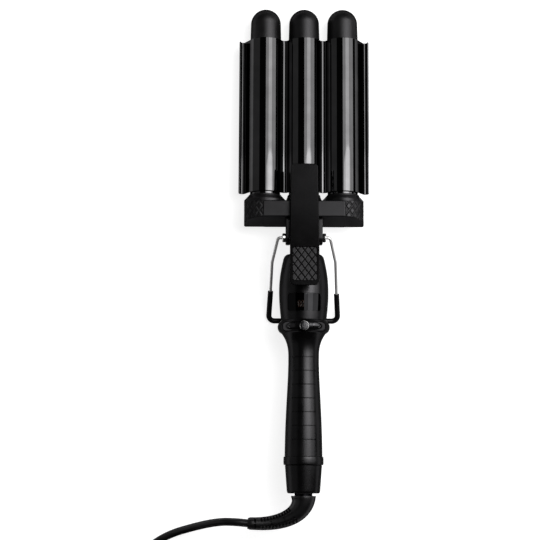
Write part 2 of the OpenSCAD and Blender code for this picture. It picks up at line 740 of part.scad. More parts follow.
// A shallow ring in the front of the grip
module groove(s) {
  intersection() {
    turned() polygon([[20, s + 0.45], [groove_floor(s), s + 0.45], [groove_floor(s), s - 0.45], [20, s - 0.45]]);
    box([-groove_half, s - 1, 0], [groove_half, s + 1, 20]);
  }
}
function groove_floor(s) = lookup(s, [for (p = reversed(concat(flare_side, grip_side))) [p[1], p[0]]]) - 0.5;
module bezel_recess() {
  difference() {
    bezel_cut(0);
    handle_skin(bezel_sink, ring_low_s - 2, ring_top_s + 2);
  }
}
module handle_screws() {
  color("dimgray") for (p = post_places) screw(p[0], p[1], post_screw_seat, post_screw_tip);
}
module display_window() {
  color("#050506") intersection() {
    difference() {
      handle_skin(window_sink, window_s - window_h, window_s + window_h);
      handle_skin(window_sink + window_t, window_s - window_h - 1, window_s + window_h + 1);
    }
    window_cut(-seat_gap);
  }
}
module display_module() {
  half_w = 10;
  half_h = 5.5;
  top = sqrt(pow(bulb_r - window_sink - window_t - 1.4, 2) - pow(half_w, 2)) - air;
  color("#202224") box([-half_w, window_s - half_h, board_top], [half_w, window_s + half_h, top]);
}
module control_board() {
  half_w = 10.3;
  wing = 14.8;
  switch_half = 2;
  color("darkgreen") {
    box([-half_w, board_low_s, board_rise], [half_w, board_high_s, board_top]);
    box([-wing, button_s - 2.9, board_rise], [wing, button_s + 3.1, board_top]);
  }
  // push switches on the front
  color("#303030") for (x = [-side_stem_x, 0, side_stem_x])
    box([x - switch_half, button_s - switch_half, board_top],
      [x + switch_half, button_s + switch_half, board_top + switch_h]);
  // relay, capacitor and terminal block on the back
  color("royalblue") box([-8, -66, board_rise - 7], [8, -50, board_rise]);
  color("black") rod(-4, board_rise - 3.9, 4, -48, -37);
  color("#303030") box([-6, -34, heater_wire_rise + wire_outer_r + 0.05], [6, -27, board_rise]);
}
module internal_wiring() {
  color("#303030") for (x = [-feed_wire_x, feed_wire_x]) rod(x, feed_wire_rise, wire_outer_r, spigot_low + 2, -70);
  color("white") for (x = [-3.4, 0, 3.4]) rod(x, heater_wire_rise, wire_outer_r, -34, chassis_s - seat_gap);
}
module button_left() {
  side_button(-1);
}
module button_right() {
  side_button(1);
}
stem_r = 1.6;
stem_foot = board_top + switch_h + button_travel + 0.1;
// A layer of the button field that follows the ring's outer face
module button_layer(inset, depth) {
  difference() {
    handle_skin(inset, ring_low_s - 2, ring_top_s + 2);
    handle_skin(inset + depth, ring_low_s - 3, ring_top_s + 3);
  }
}
module side_button(side) {
  flange = 0.5;
  cap_depth = 2;
  color("#242427") {
    intersection() {
      button_layer(bezel_sink - 0.3, cap_depth);
      upward(0, ring_r + 5) side_button_outline(side, -run_gap);
    }
    // the flange below the shell keeps the button in
    intersection() {
      button_layer(shell_wall + 2 * seat_gap, 0.5);
      upward(0, ring_r + 5) side_button_outline(side, flange);
    }
    up_rod(side * side_stem_x, button_s, stem_r, stem_foot,
      sqrt(pow(ring_r - cap_depth, 2) - pow(side_stem_x, 2)));
  }
}
power_top = ring_r;
power_rim = 1.1;
module button_power() {
  color("#242427") {
    up_rod(0, button_s, power_r - power_rim, power_top - 3, power_top);
    up_rod(0, button_s, stem_r, stem_foot, power_top - 2.9);
    box([-power_r - 0.9, button_s - 3, power_top - 5], [power_r + 0.9, button_s + 3, power_top - 4.2]);
  }
}
module power_ring() {
  color("gainsboro") difference() {
    up_rod(0, button_s, power_r, power_top - 2.3, power_top + 0.1);
    up_rod(0, button_s, power_r - power_rim + 0.02, power_top - 3, power_top + 1);
  }
}
module handle_band() {
  bore = grip_r - 1 + seat_gap;
  low = cap_top_s;
  color("#18181a") turned() polygon([[bore, low], [band_r - 0.5, low], [band_r - 0.1, low + 0.6],
    [band_r, low + 2.5], [band_r - 0.1, grip_low_s - 0.9], [band_r - 0.5, grip_low_s - 0.1], [bore, grip_low_s - 0.1]]);
}
module end_cap() {
  top_r = grip_r - 0.3;
  wall = 2.2;
  socket_r = grip_r - 1 - shell_wall - seat_gap;
  color("#1c1c1e") difference() {
    turned() polygon([[0, cap_top_s], [top_r, cap_top_s], [cap_low_r + 0.2, cap_low_s + 2],
      [cap_low_r - 0.2, cap_low_s + 0.7], [cap_low_r - 1, cap_low_s], [0, cap_low_s]]);
    // seat of the shells' spigot
    turned() polygon([[0, cap_top_s + 1], [grip_r - 1 + seat_gap, cap_top_s + 1],
      [grip_r - 1 + seat_gap, spigot_low - seat_gap], [0, spigot_low - seat_gap]]);
    rod(0, 0, core_flange_r + 0.4, cap_low_s + 4, cap_top_s);
    rod(0, 0, core_r + run_gap, cap_low_s - 1, cap_low_s + 5);
  }
}
socket_low = cap_low_s + 10;
module swivel_socket() {
  color("dimgray") difference() {
    union() {
      rod(0, 0, core_flange_r, socket_low, spigot_low + 1);
      rod(0, 0, grip_r - 1 - shell_wall - seat_gap, spigot_low, spigot_low + 6);
    }
    rod(0, 0, 3 + run_gap, socket_low - 1, socket_low + 5);
    for (x = [-feed_wire_x, feed_wire_x])
      rod(x, feed_wire_rise, wire_outer_r + seat_gap, spigot_low + 2 - seat_gap, spigot_low + 7);
  }
}
module swivel_core() {
  color("#101012") union() {
    rod(0, 0, core_r, elbow_top_s, cap_low_s + 5);
    rod(0, 0, core_flange_r, cap_low_s + 4 + air, socket_low - air);
    rod(0, 0, 3, socket_low - 1, socket_low + 4.5);
  }
}
module cord_elbow() {
  bend_s = elbow_top_s - elbow_lead;
  bend = [for (p = bez_points(elbow_path, elbow_steps)) [p[0], bend_s + p[1], 0]];
  radii = [for (i = [0:elbow_steps]) elbow_radius(i / elbow_steps)];
  color("#1a1a1c") swept(concat([[0, elbow_top_s, 0]], bend), concat([elbow_r], radii), 20);
}

// ---------------------------------------------------------------- cord and plug, on the table
module cord_tube(route) {
  swept(route, [for (p = route) cord_r], cord_sides);
}
module mains_cord() {
  color("#18181a") cord_tube(cord_route);
}
module cord_coil() {
  r0 = coil_r_in - cord_r;
  r1 = coil_r_out + cord_r;
  c = 2;
  color("#18181a") translate([coil_centre[0], coil_centre[1], 0]) difference() {
    rotate_extrude() polygon([[r0 + c, 0], [r1 - c, 0], [r1, c], [r1, coil_h - c], [r1 - c, coil_h],
      [r0 + c, coil_h], [r0, coil_h - c], [r0, c]]);
    tie_band(0.05);
  }
}
// The strap round the coil's turns; grow widens its cut in the coil
module tie_band(grow) {
  r0 = coil_r_in - cord_r - tie_t / 2;
  r1 = coil_r_out + cord_r + tie_t / 2;
  difference() {
    box([r0 - grow, -tie_w / 2 - grow, -1], [r1 + grow, tie_w / 2 + grow, coil_h + grow]);
    box([r0 + tie_t + grow, -tie_w, tie_t + grow], [r1 - tie_t - grow, tie_w, coil_h - tie_t - grow]);
  }
}
module cord_tie() {
  color("#262628") translate([coil_centre[0], coil_centre[1], 0]) intersection() {
    tie_band(0);
    box([0, -tie_w, 0], [coil_r_out * 2, tie_w, coil_h]);
  }
}
module cord_tail() {
  color("#18181a") cord_tube(tail_route);
}
module plug_body() {
  face = plug_len - plug_neck_len;
  color("#18181a") translate([plug_start[0], plug_start[1], 0]) {
    translate([0, 0, plug_start[2]]) rotate([0, 90, 0]) cylinder(h = plug_neck_len + 4, r = cord_r + 1.6);
    translate([plug_neck_len, 0, 0]) linear_extrude(plug_h)
      polygon([[0, -5.5], [5, -6.5], [12, -11], [16, -plug_half_w], [face, -plug_half_w],
        [face, plug_half_w], [16, plug_half_w], [12, 11], [5, 6.5], [0, 5.5]]);
  }
}
module plug_pins() {
  color("gold") for (side = [-1, 1]) translate([plug_start[0] + plug_len, plug_start[1] + side * plug_pin_gap / 2, plug_h / 2])
    rotate([0, 90, 0]) cylinder(h = plug_pin_len, r = plug_pin_r);
}

lay() barrel_tube(barrel_xs[0]);  // barrel_tube_left
lay() barrel_tube(barrel_xs[1]);  // barrel_tube_centre
lay() barrel_tube(barrel_xs[2]);  // barrel_tube_right
lay() barrel_tip(barrel_xs[0]);  // barrel_tip_left
lay() barrel_tip(barrel_xs[1]);  // barrel_tip_centre
lay() barrel_tip(barrel_xs[2]);  // barrel_tip_right
lay() barrel_collar(barrel_xs[0]);  // barrel_collar_left
lay() barrel_collar(barrel_xs[1]);  // barrel_collar_centre
lay() barrel_collar(barrel_xs[2]);  // barrel_collar_right
lay() heater(barrel_xs[0]);  // heater_left
lay() heater(barrel_xs[1]);  // heater_centre
lay() heater(barrel_xs[2]);  // heater_right
lay() thermistor();
lay() thermal_fuse();
lay() head_chassis();
lay() head_cover(1);  // head_front_cover
lay() head_cover(-1);  // head_rear_cover
lay() head_screws();
lay() neck_tube();
lay() pivot_saddle();
lay() hinge_pin();
lay() pivot_bushes();
lay() clamp_plate();
lay() clamp_bracket();
lay() clamp_lever();
lay() thumb_pad();
lay() clamp_rivets();
lay() clamp_spring();
lay() stand_wire();
lay() stand_sleeve();
lay() handle_shell(1);  // handle_front_shell
lay() handle_shell(-1);  // handle_rear_shell
lay() handle_screws();
lay() display_window();
lay() display_module();
lay() control_board();
lay() internal_wiring();
lay() button_left();
lay() button_power();
lay() power_ring();
lay() button_right();
lay() handle_band();
lay() end_cap();
lay() swivel_socket();
lay() swivel_core();
lay() cord_elbow();
mains_cord();
cord_coil();
cord_tail();
cord_tie();
plug_body();
plug_pins();
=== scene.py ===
import json
import math

import bmesh
import bpy
from mathutils import Matrix, Vector


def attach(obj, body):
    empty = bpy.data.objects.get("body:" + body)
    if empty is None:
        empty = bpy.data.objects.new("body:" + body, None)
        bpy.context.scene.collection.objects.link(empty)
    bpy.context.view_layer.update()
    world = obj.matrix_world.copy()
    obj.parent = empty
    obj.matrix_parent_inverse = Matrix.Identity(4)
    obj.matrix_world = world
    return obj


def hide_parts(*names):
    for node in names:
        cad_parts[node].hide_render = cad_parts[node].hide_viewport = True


bl_info = {
    "name": "Hair waver",
    "version": (1, 0, 0),
    "blender": (4, 5, 0),
    "location": "View3D > Sidebar > Waver",
    "description": "Dresses the packed three-barrel hair waver and sets up its studio",
    "category": "Object",
}

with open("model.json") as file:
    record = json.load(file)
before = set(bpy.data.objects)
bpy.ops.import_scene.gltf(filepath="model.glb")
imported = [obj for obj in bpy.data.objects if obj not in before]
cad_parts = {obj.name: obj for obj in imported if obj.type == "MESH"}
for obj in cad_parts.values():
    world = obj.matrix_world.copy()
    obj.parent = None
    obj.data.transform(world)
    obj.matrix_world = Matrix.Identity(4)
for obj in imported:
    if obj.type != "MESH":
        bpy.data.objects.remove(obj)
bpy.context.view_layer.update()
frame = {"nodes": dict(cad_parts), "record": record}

# The object is drawn upright in its own frame, in millimetres: x to the right, s along
# the handle towards the tips, rise towards the lever. It is then laid on the table.
MM = 0.001
WELD = 0.002
LIE = math.radians(2.47526)
LAY = Matrix.Translation((0, 0.0210899, 0.02033)) @ Matrix.Rotation(-LIE, 4, "X")

# Barrels and head
BARREL_R = 12.5
BARREL_WALL = 0.9
BARREL_PITCH = 32.0
BARREL_XS = {"left": -BARREL_PITCH, "centre": 0.0, "right": BARREL_PITCH}
BARREL_FOOT = 20.16
BARREL_END = 166.2
TIP_CENTRE = 181.3
TIP_STEP = 0.4
HEAD_LOW = 9.0
HEAD_TOP = 31.4
HEAD_MIDDLE = (HEAD_LOW + HEAD_TOP) / 2
FACE_LOW = 15.164
FACE_TOP = 28.364
HEAD_HALF = 49.4
HEAD_DEEP = 17.0
HEAD_CORNER = 15.5
COLLAR_TOP = 35.3
SMOOTH_HALF = 33.5
HEAD_SCREWS = [(-16, 24.36), (16, 24.36)]
HEAD_SEAT = -15.5
SCREW_WELL_R = 2.7

# Clamp
PLATE_LOW = 37.0
PLATE_MID = 13.9
PLATE_T = 1.2
VALLEY_R = 3.5
VALLEY_RISE = 6.8403
WING_ANGLE = 30
WING_LEN = 9.8
TROUGH_R = 2.2
LIP_ANGLE = 80
LIP_LEN = 2.2
LEVER_TOP = 58.6
LEVER_LOW = -44.0
LEVER_T = 2.6
PAD_TOP_S = -11.0
PAD_TOP_RISE = 30.8
PAD_SLOPE = math.atan2(9.2, 33.0)
PAD_W = 19.8
PAD_LEN = 29.6
PAD_LEAD = 1.0
PAD_CORNER = 2.5
PAD_SINK = 1.2

# Hinge and stand
HINGE_S = -2.0
HINGE_RISE = 13.0
EAR_OUT = 14.95
EAR_IN = 11.95
EAR_R = 5.5
STAND_ANGLE = math.radians(27.9795)
STAND_HALF = 28.4
STAND_LEN = 72.47
STAND_SHOULDER = 21.85
WIRE_R = 1.25
SLEEVE_R = 2.2

# Handle
NECK_R = 9.0
BULB_TOP = -14.1
BULB_R = 20.9
RING_TOP = -68.3
RING_LOW = -78.8
RING_R = 21.35
WAIST_R = 12.45
WAIST_S = -97.0
GRIP_R = 15.2
GRIP_LOW = -177.6
CAP_TOP = -184.4
CAP_LOW = -206.9
BAND_R = 16.15
SPIGOT_LOW = -188.4
SHELL_T = 2.0
WINDOW_S = -54.7
WINDOW_OPENING = (26.5, 14.5, 2.0)
BUTTON_S = -74.1
BUTTON_X = 12
BUTTON_OPENING = (9.9, 6.7, 2.4)
POWER_R = 4.3
POWER_RIM = 1.1
MARK_R = 0.2
GROOVES = [-98.3 - 11 * i for i in range(7)]
GROOVE_HALF = 9.4
GROOVE_DEEP = 0.5
HANDLE_SCREWS = [(-13.2, -29), (13.2, -29), (0, -122), (0, -166)]
HANDLE_SEAT = -9

# Swivel elbow
ELBOW_TOP = -208.9
ELBOW_LEAD = 1.2
ELBOW_PATH = [(0, 0), (0, -11.7), (-14, -22.695), (-44.5, -20.5)]
ELBOW_R0 = 9.9
ELBOW_R1 = 4.9
SLOT_FIRST = 11.2
SLOT_PITCH = 2.6
SLOT_DEEP = 3.1
SLOT_HALF = 0.7

# Cord on the table, in millimetres of the table's own frame
CORD_R = 3.15
CORD_ROUTE = [
    (-40, -209.6, 30.3), (-45.4, -209.2, 30.3), (-54, -208.5, 29.6), (-64, -208.5, 27),
    (-74, -210, 22.5), (-84, -212.5, 16.5), (-94, -215.5, 10.5), (-103, -218.5, 6.2),
    (-112, -222.5, 3.9), (-121, -228, 3.2), (-130, -235.5, 3.2), (-138, -245, 3.2),
    (-144, -256, 3.2), (-147.5, -267, 3.2), (-149, -279, 3.2),
]
COIL_CENTRE = (-102, -279)
COIL_R_OUT = 47.0
COIL_R_IN = 27.0
COIL_TURNS = 6.25
COIL_STEPS = 40
COIL_H = 13.0
LAYER_RISE = 6.4
STRAP_LIFT = 1.05
STRAP_REACH = 9
TAIL_ROUTE = [
    (-102, -326, 9.6), (-93, -326, 9), (-84, -325.5, 7), (-75, -324.5, 4.6), (-66, -323, 3.4),
    (-57, -321, 3.2), (-48, -319, 3.3), (-39, -317.5, 4.3), (-30, -316.3, 6), (-22, -316, 7),
    (-14, -316, 7),
]
PLUG_START = (-14.0, -316.0, 7.0)
PLUG_NECK = 10
PLUG_HALF = 13
PLUG_FACE = 36
PLUG_RIBS = [2.6 * i for i in range(4)]
PIN_R = 2
PIN_END = 55
PIN_OUT = 9.3


# ------------------------------------------------------------------ outlines
def bezier(p, n):
    """Points of a cubic curve."""
    out = []
    for i in range(n + 1):
        t = i / n
        w = ((1 - t) ** 3, 3 * (1 - t) ** 2 * t, 3 * (1 - t) * t * t, t ** 3)
        out.append(tuple(sum(a * q[k] for a, q in zip(w, p)) for k in range(len(p[0]))))
    return out


def arc(cx, cy, r, a0, a1, n):
    """Points of an arc, its angles in degrees."""
    angles = [math.radians(a0 + (a1 - a0) * i / n) for i in range(n + 1)]
    return [(cx + r * math.cos(a), cy + r * math.sin(a)) for a in angles]


def round_rect(w, h, r, n=6):
    """Closed outline of a rectangle with round corners, centred."""
    out = []
    for x, y, a in ((1, 1, 0), (-1, 1, 90), (-1, -1, 180), (1, -1, 270)):
        out += arc(x * (w / 2 - r), y * (h / 2 - r), r, a, a + 90, n)
    return out


def softened(points, rounds=2):
    """An open outline with its corners cut back, so that it curves through them."""
    for _ in range(rounds):
        cut = [points[0]]
        for a, b in zip(points, points[1:]):
            cut.append(tuple(0.75 * p + 0.25 * q for p, q in zip(a, b)))
            cut.append(tuple(0.25 * p + 0.75 * q for p, q in zip(a, b)))
        points = cut + [points[-1]]
    return points


def through(points, steps):
    """A smooth curve through every point."""
    p = [Vector(q) for q in points]
    p = [2 * p[0] - p[1]] + p + [2 * p[-1] - p[-2]]
    out = []
    for i in range(1, len(p) - 2):
        a, b, c, d = p[i - 1:i + 3]
        for k in range(steps):
            t = k / steps
            out.append(0.5 * (2 * b + (c - a) * t + (2 * a - 5 * b + 4 * c - d) * t * t
                              + (3 * b - a - 3 * c + d) * t ** 3))
    return out + [p[-2]]


def at_height(outline, s):
    """Radius of an outline of (radius, s) points at a height s."""
    for a, b in zip(outline, outline[1:]):
        if min(a[1], b[1]) <= s <= max(a[1], b[1]) and a[1] != b[1]:
            return a[0] + (b[0] - a[0]) * (s - a[1]) / (b[1] - a[1])
    return outline[-1][0]


def on_skin(outline, x, s, depth):
    """The point at x and s that lies a depth under the front of a turned skin."""
    return (x, s, math.sqrt((at_height(outline, s) - depth) ** 2 - x * x))


SHOULDER = [(NECK_R + 0.05, BULB_TOP), (BULB_R - 8.2, BULB_TOP), (BULB_R - 6.1, BULB_TOP - 0.5),
            (BULB_R - 4.9, BULB_TOP - 1.7)]
BULB = bezier([(BULB_R - 4.2, BULB_TOP - 3.4), (BULB_R - 1.2, BULB_TOP - 16), (BULB_R + 0.9, -42),
               (BULB_R - 2.5, RING_TOP)], 36)
RING = [(RING_R - 2.4, RING_TOP - 0.4), (RING_R - 0.5, RING_TOP - 3), (RING_R, RING_TOP - 5),
        (RING_R - 0.4, RING_TOP - 7.4), (RING_R - 1.6, RING_LOW + 1.2), (RING_R - 3.4, RING_LOW)]
FLARE = bezier([(RING_R - 3.6, RING_LOW - 0.2), (WAIST_R + 2.6, RING_LOW - 4), (WAIST_R, RING_LOW - 9),
                (WAIST_R, WAIST_S)], 18)
GRIP = bezier([(WAIST_R, WAIST_S - 2), (WAIST_R - 0.1, WAIST_S - 22), (GRIP_R - 0.3, WAIST_S - 44),
               (GRIP_R, GRIP_LOW)], 44)
RING_SKIN = softened(RING)
HANDLE_SKIN = SHOULDER + BULB + RING_SKIN + FLARE + GRIP


# ------------------------------------------------------------------ modelling
def start():
    """Leaves edit mode and lets go of everything."""
    if bpy.context.object and bpy.context.object.mode != "OBJECT":
        bpy.ops.object.mode_set(mode="OBJECT")
    bpy.ops.object.select_all(action="DESELECT")


def pen(points, closed=False):
    """Draws a line of edges through points in millimetres, one at a time, and stays in edit mode."""
    start()
    bpy.ops.mesh.primitive_plane_add(size=MM)
    bpy.ops.object.mode_set(mode="EDIT")
    bpy.ops.mesh.select_mode(type="VERT")
    bpy.ops.mesh.select_all(action="SELECT")
    bpy.ops.mesh.merge(type="CENTER")
    at = [Vector(p) * MM for p in points]
    bpy.ops.transform.translate(value=at[0])
    for a, b in zip(at, at[1:]):
        bpy.ops.mesh.extrude_region_move(TRANSFORM_OT_translate={"value": b - a})
    if closed:
        pick("VERT", lambda v: (v.co - at[0]).length < 1e-7 or (v.co - at[-1]).length < 1e-7)
        bpy.ops.mesh.edge_face_add()
    bpy.ops.mesh.select_all(action="SELECT")


def pick(kind, wanted):
    """Selects the points, edges or faces of the mesh in hand that are wanted."""
    bpy.ops.mesh.select_mode(type=kind)
    bpy.ops.mesh.select_all(action="DESELECT")
    mesh = bpy.context.object.data
    edited = bmesh.from_edit_mesh(mesh)
    for part in {"VERT": edited.verts, "EDGE": edited.edges, "FACE": edited.faces}[kind]:
        if wanted(part):
            part.select_set(True)
    edited.select_flush_mode()
    bmesh.update_edit_mesh(mesh)


def open_up(piece):
    """Takes one piece in hand, in edit mode and selected all over."""
    hold(piece)
    bpy.ops.object.mode_set(mode="EDIT")
    bpy.ops.mesh.select_all(action="SELECT")


def close_up():
    """Welds doubles, turns every face outwards and leaves edit mode."""
    bpy.ops.mesh.select_mode(type="VERT")
    bpy.ops.mesh.select_all(action="SELECT")
    bpy.ops.mesh.remove_doubles(threshold=WELD * MM)
    bpy.ops.mesh.normals_make_consistent(inside=False)
    bpy.ops.object.mode_set(mode="OBJECT")
    return bpy.context.object


def turned(profile, centre=(0, 0, 0), axis="Y", sweep=360.0, first=0.0, steps=72, closed=False):
    """Spins an outline of (radius, height) points about an axis through the centre."""
    cos, sin = math.cos(math.radians(first)), math.sin(math.radians(first))
    cx, cy, cz = centre
    place = {
        "Y": lambda r, h: (cx + r * cos, cy + h, cz + r * sin),
        "Z": lambda r, h: (cx + r * cos, cy + r * sin, cz + h),
        "X": lambda r, h: (cx + h, cy + r * cos, cz + r * sin),
    }[axis]
    pen([place(r, h) for r, h in profile], closed)
    # with no window open, spin turns the other way round its axis
    way = {"Y": (0, 1, 0), "Z": (0, 0, -1), "X": (-1, 0, 0)}[axis]
    bpy.ops.mesh.spin(steps=steps, angle=math.radians(sweep), center=Vector(centre) * MM, axis=way)
    if closed and sweep < 360:
        bpy.ops.mesh.select_all(action="SELECT")
        bpy.ops.mesh.fill_holes(sides=0)
    return close_up()


def slab(outline, low, high, plane="XY"):
    """A flat outline given its thickness."""
    place = {
        "XY": lambda a, b, h: (a, b, h),
        "XZ": lambda a, b, h: (a, h, b),
        "YZ": lambda a, b, h: (h, a, b),
    }[plane]
    pen([place(a, b, low) for a, b in outline], closed=True)
    bpy.ops.mesh.edge_face_add()
    way = Vector(place(0, 0, high)) - Vector(place(0, 0, low))
    bpy.ops.mesh.extrude_region_move(TRANSFORM_OT_translate={"value": way * MM})
    return close_up()


def rounded_block(centre, size, low, high, n=6):
    """A block with round upright corners, its size given as width, height and corner radius."""
    outline = [(centre[0] + x, centre[1] + s) for x, s in round_rect(*size, n)]
    return slab(outline, low, high)


def line_curve(points, radius, sides):
    """A round curve that follows points in millimetres."""
    pen(points)
    bpy.ops.object.mode_set(mode="OBJECT")
    bpy.ops.object.convert(target="CURVE")
    curve = bpy.context.object
    curve.data.dimensions = "3D"
    curve.data.bevel_depth = radius * MM
    curve.data.bevel_resolution = sides // 4
    curve.data.use_fill_caps = True
    return curve


def rod_along(points, radius, sides=16):
    """A round rod that follows points in millimetres."""
    line_curve(points, radius, sides)
    bpy.ops.object.convert(target="MESH")
    bpy.ops.object.mode_set(mode="EDIT")
    return close_up()


def hold(piece):
    """Takes one piece in hand."""
    start()
    piece.select_set(True)
    bpy.context.view_layer.objects.active = piece
    return piece


def shape(piece, kind, **settings):
    """Adds a modifier to a piece, sets it and applies it."""
    hold(piece)
    bpy.ops.object.modifier_add(type=kind)
    modifier = piece.modifiers[-1]
    for key, value in settings.items():
        setattr(modifier, key, value)
    bpy.ops.object.modifier_apply(modifier=modifier.name)
    return piece


def soften(piece, width, segments=3, angle=35):
    """Rounds every edge sharper than an angle."""
    return shape(piece, "BEVEL", width=width * MM, segments=segments, limit_method="ANGLE",
                 angle_limit=math.radians(angle), use_clamp_overlap=True, harden_normals=False)


def cut(piece, tool, how="DIFFERENCE", crossed=False):
    """Cuts a piece with a tool shape, which is then thrown away."""
    shape(piece, "BOOLEAN", object=tool, operation=how, solver="EXACT", use_self=crossed)
    bpy.data.objects.remove(tool)
    return hold(piece)


def join(pieces):
    """Makes one piece of several."""
    start()
    for p in pieces:
        p.select_set(True)
    bpy.context.view_layer.objects.active = pieces[0]
    bpy.ops.object.join()
    return bpy.context.object


def trim(piece, point, outward, fill=True):
    """Slices a piece with a plane and throws away what lies outward of it."""
    open_up(piece)
    bpy.ops.mesh.bisect(plane_co=Vector(point) * MM, plane_no=Vector(outward).normalized(),
                        use_fill=fill, clear_outer=True, clear_inner=False)
    bpy.ops.object.mode_set(mode="OBJECT")
    return piece


def put(piece, matrix):
    """Moves a piece's shape, and leaves its object at the origin."""
    hold(piece)
    piece.matrix_world = matrix
    bpy.ops.object.transform_apply(location=True, rotation=True, scale=True)
    return piece


def mirrored(points):
    """The same points on the other side, from the last one back to the first."""
    return [Vector((-p.x, p.y, p.z)) for p in reversed(points)]


def done(piece, name, slot, body="handle", nodes=(), laid=True, angle=30, look=None):
    """Names a finished piece, lays it down, shades it, gives it its finish and its body."""
    hold(piece)
    piece.name = name
    piece.data.name = name
    if laid:
        put(piece, LAY)
    bpy.ops.object.shade_smooth_by_angle(angle=math.radians(angle))
    shape(piece, "WEIGHTED_NORMAL", keep_sharp=True)
    piece.data.materials.clear()
    piece.data.materials.append(look or LOOKS[slot])
    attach(piece, body)
    if nodes:
        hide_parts(*nodes)
    return piece


def dressed_copy(node, slot, body="handle", angle=32):
    """A welded, smoothly shaded copy of a solid, which stands for it."""
    start()
    copy = frame["nodes"][node].copy()
    copy.data = copy.data.copy()
    for key in list(copy.keys()):
        if key.startswith("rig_"):
            del copy[key]
    copy.parent = None
    bpy.context.scene.collection.objects.link(copy)
    open_up(copy)
    close_up()
    return done(copy, node + "_finished", slot, body, [node], laid=False, angle=angle)


# ------------------------------------------------------------------ finishes
LOOKS = {}
# most of a cloudy noise lies between these values
NOISE_LOW, NOISE_HIGH = 0.3, 0.7


def noise(nodes, links, coords, size, detail=3.0):
    """Cloudy noise with grains of a size in millimetres."""
    n = nodes.new("ShaderNodeTexNoise")
    n.inputs["Scale"].default_value = 1 / (size * MM)
    n.inputs["Detail"].default_value = detail
    links.new(coords, n.inputs["Vector"])
    return n.outputs["Fac"]


def spread(nodes, links, value, low, high):
    """Stretches a noise value to a range."""
    m = nodes.new("ShaderNodeMapRange")
    m.inputs["From Min"].default_value = NOISE_LOW
    m.inputs["From Max"].default_value = NOISE_HIGH
    m.inputs["To Min"].default_value = low
    m.inputs["To Max"].default_value = high
    links.new(value, m.inputs["Value"])
    return m.outputs["Result"]


def finish(name, colour, rough, metal=0.0, grain=0.3, depth=0.01, cloud=14.0, vary=0.12, edge=1.0,
           stretch=(1, 1, 1)):
    """A finish with fine grain in its surface and a slow change of gloss and tone.

    grain, depth and cloud are in millimetres; edge says how strongly the surface
    mirrors where it turns away.
    """
    look = bpy.data.materials.new(name)
    look.use_nodes = True
    look.diffuse_color = (*colour, 1)
    nodes, links = look.node_tree.nodes, look.node_tree.links
    shader = nodes["Principled BSDF"]
    shader.inputs["Metallic"].default_value = metal
    shader.inputs["Specular Tint"].default_value = (edge, edge, edge, 1)
    place = nodes.new("ShaderNodeTexCoord")
    mapping = nodes.new("ShaderNodeMapping")
    mapping.inputs["Rotation"].default_value = (LIE, 0, 0)
    mapping.inputs["Scale"].default_value = stretch
    links.new(place.outputs["Object"], mapping.inputs["Vector"])
    coords = mapping.outputs["Vector"]
    slow = noise(nodes, links, coords, cloud)
    fine = noise(nodes, links, coords, grain, detail=2.0)
    gloss = spread(nodes, links, slow, rough * (1 - vary), rough * (1 + vary))
    links.new(gloss, shader.inputs["Roughness"])
    ramp = nodes.new("ShaderNodeValToRGB")
    dark, light = ramp.color_ramp.elements
    dark.position, light.position = NOISE_LOW, NOISE_HIGH
    dark.color = (*[c * (1 - vary) for c in colour], 1)
    light.color = (*[min(1, c * (1 + vary)) for c in colour], 1)
    links.new(slow, ramp.inputs["Fac"])
    links.new(ramp.outputs["Color"], shader.inputs["Base Color"])
    bump = nodes.new("ShaderNodeBump")
    bump.inputs["Strength"].default_value = 0.5
    bump.inputs["Distance"].default_value = depth * MM
    links.new(fine, bump.inputs["Height"])
    links.new(bump.outputs["Normal"], shader.inputs["Normal"])
    return look


def tone(colour, share):
    """A darker or lighter tone of a colour."""
    return tuple(share * v for v in colour)


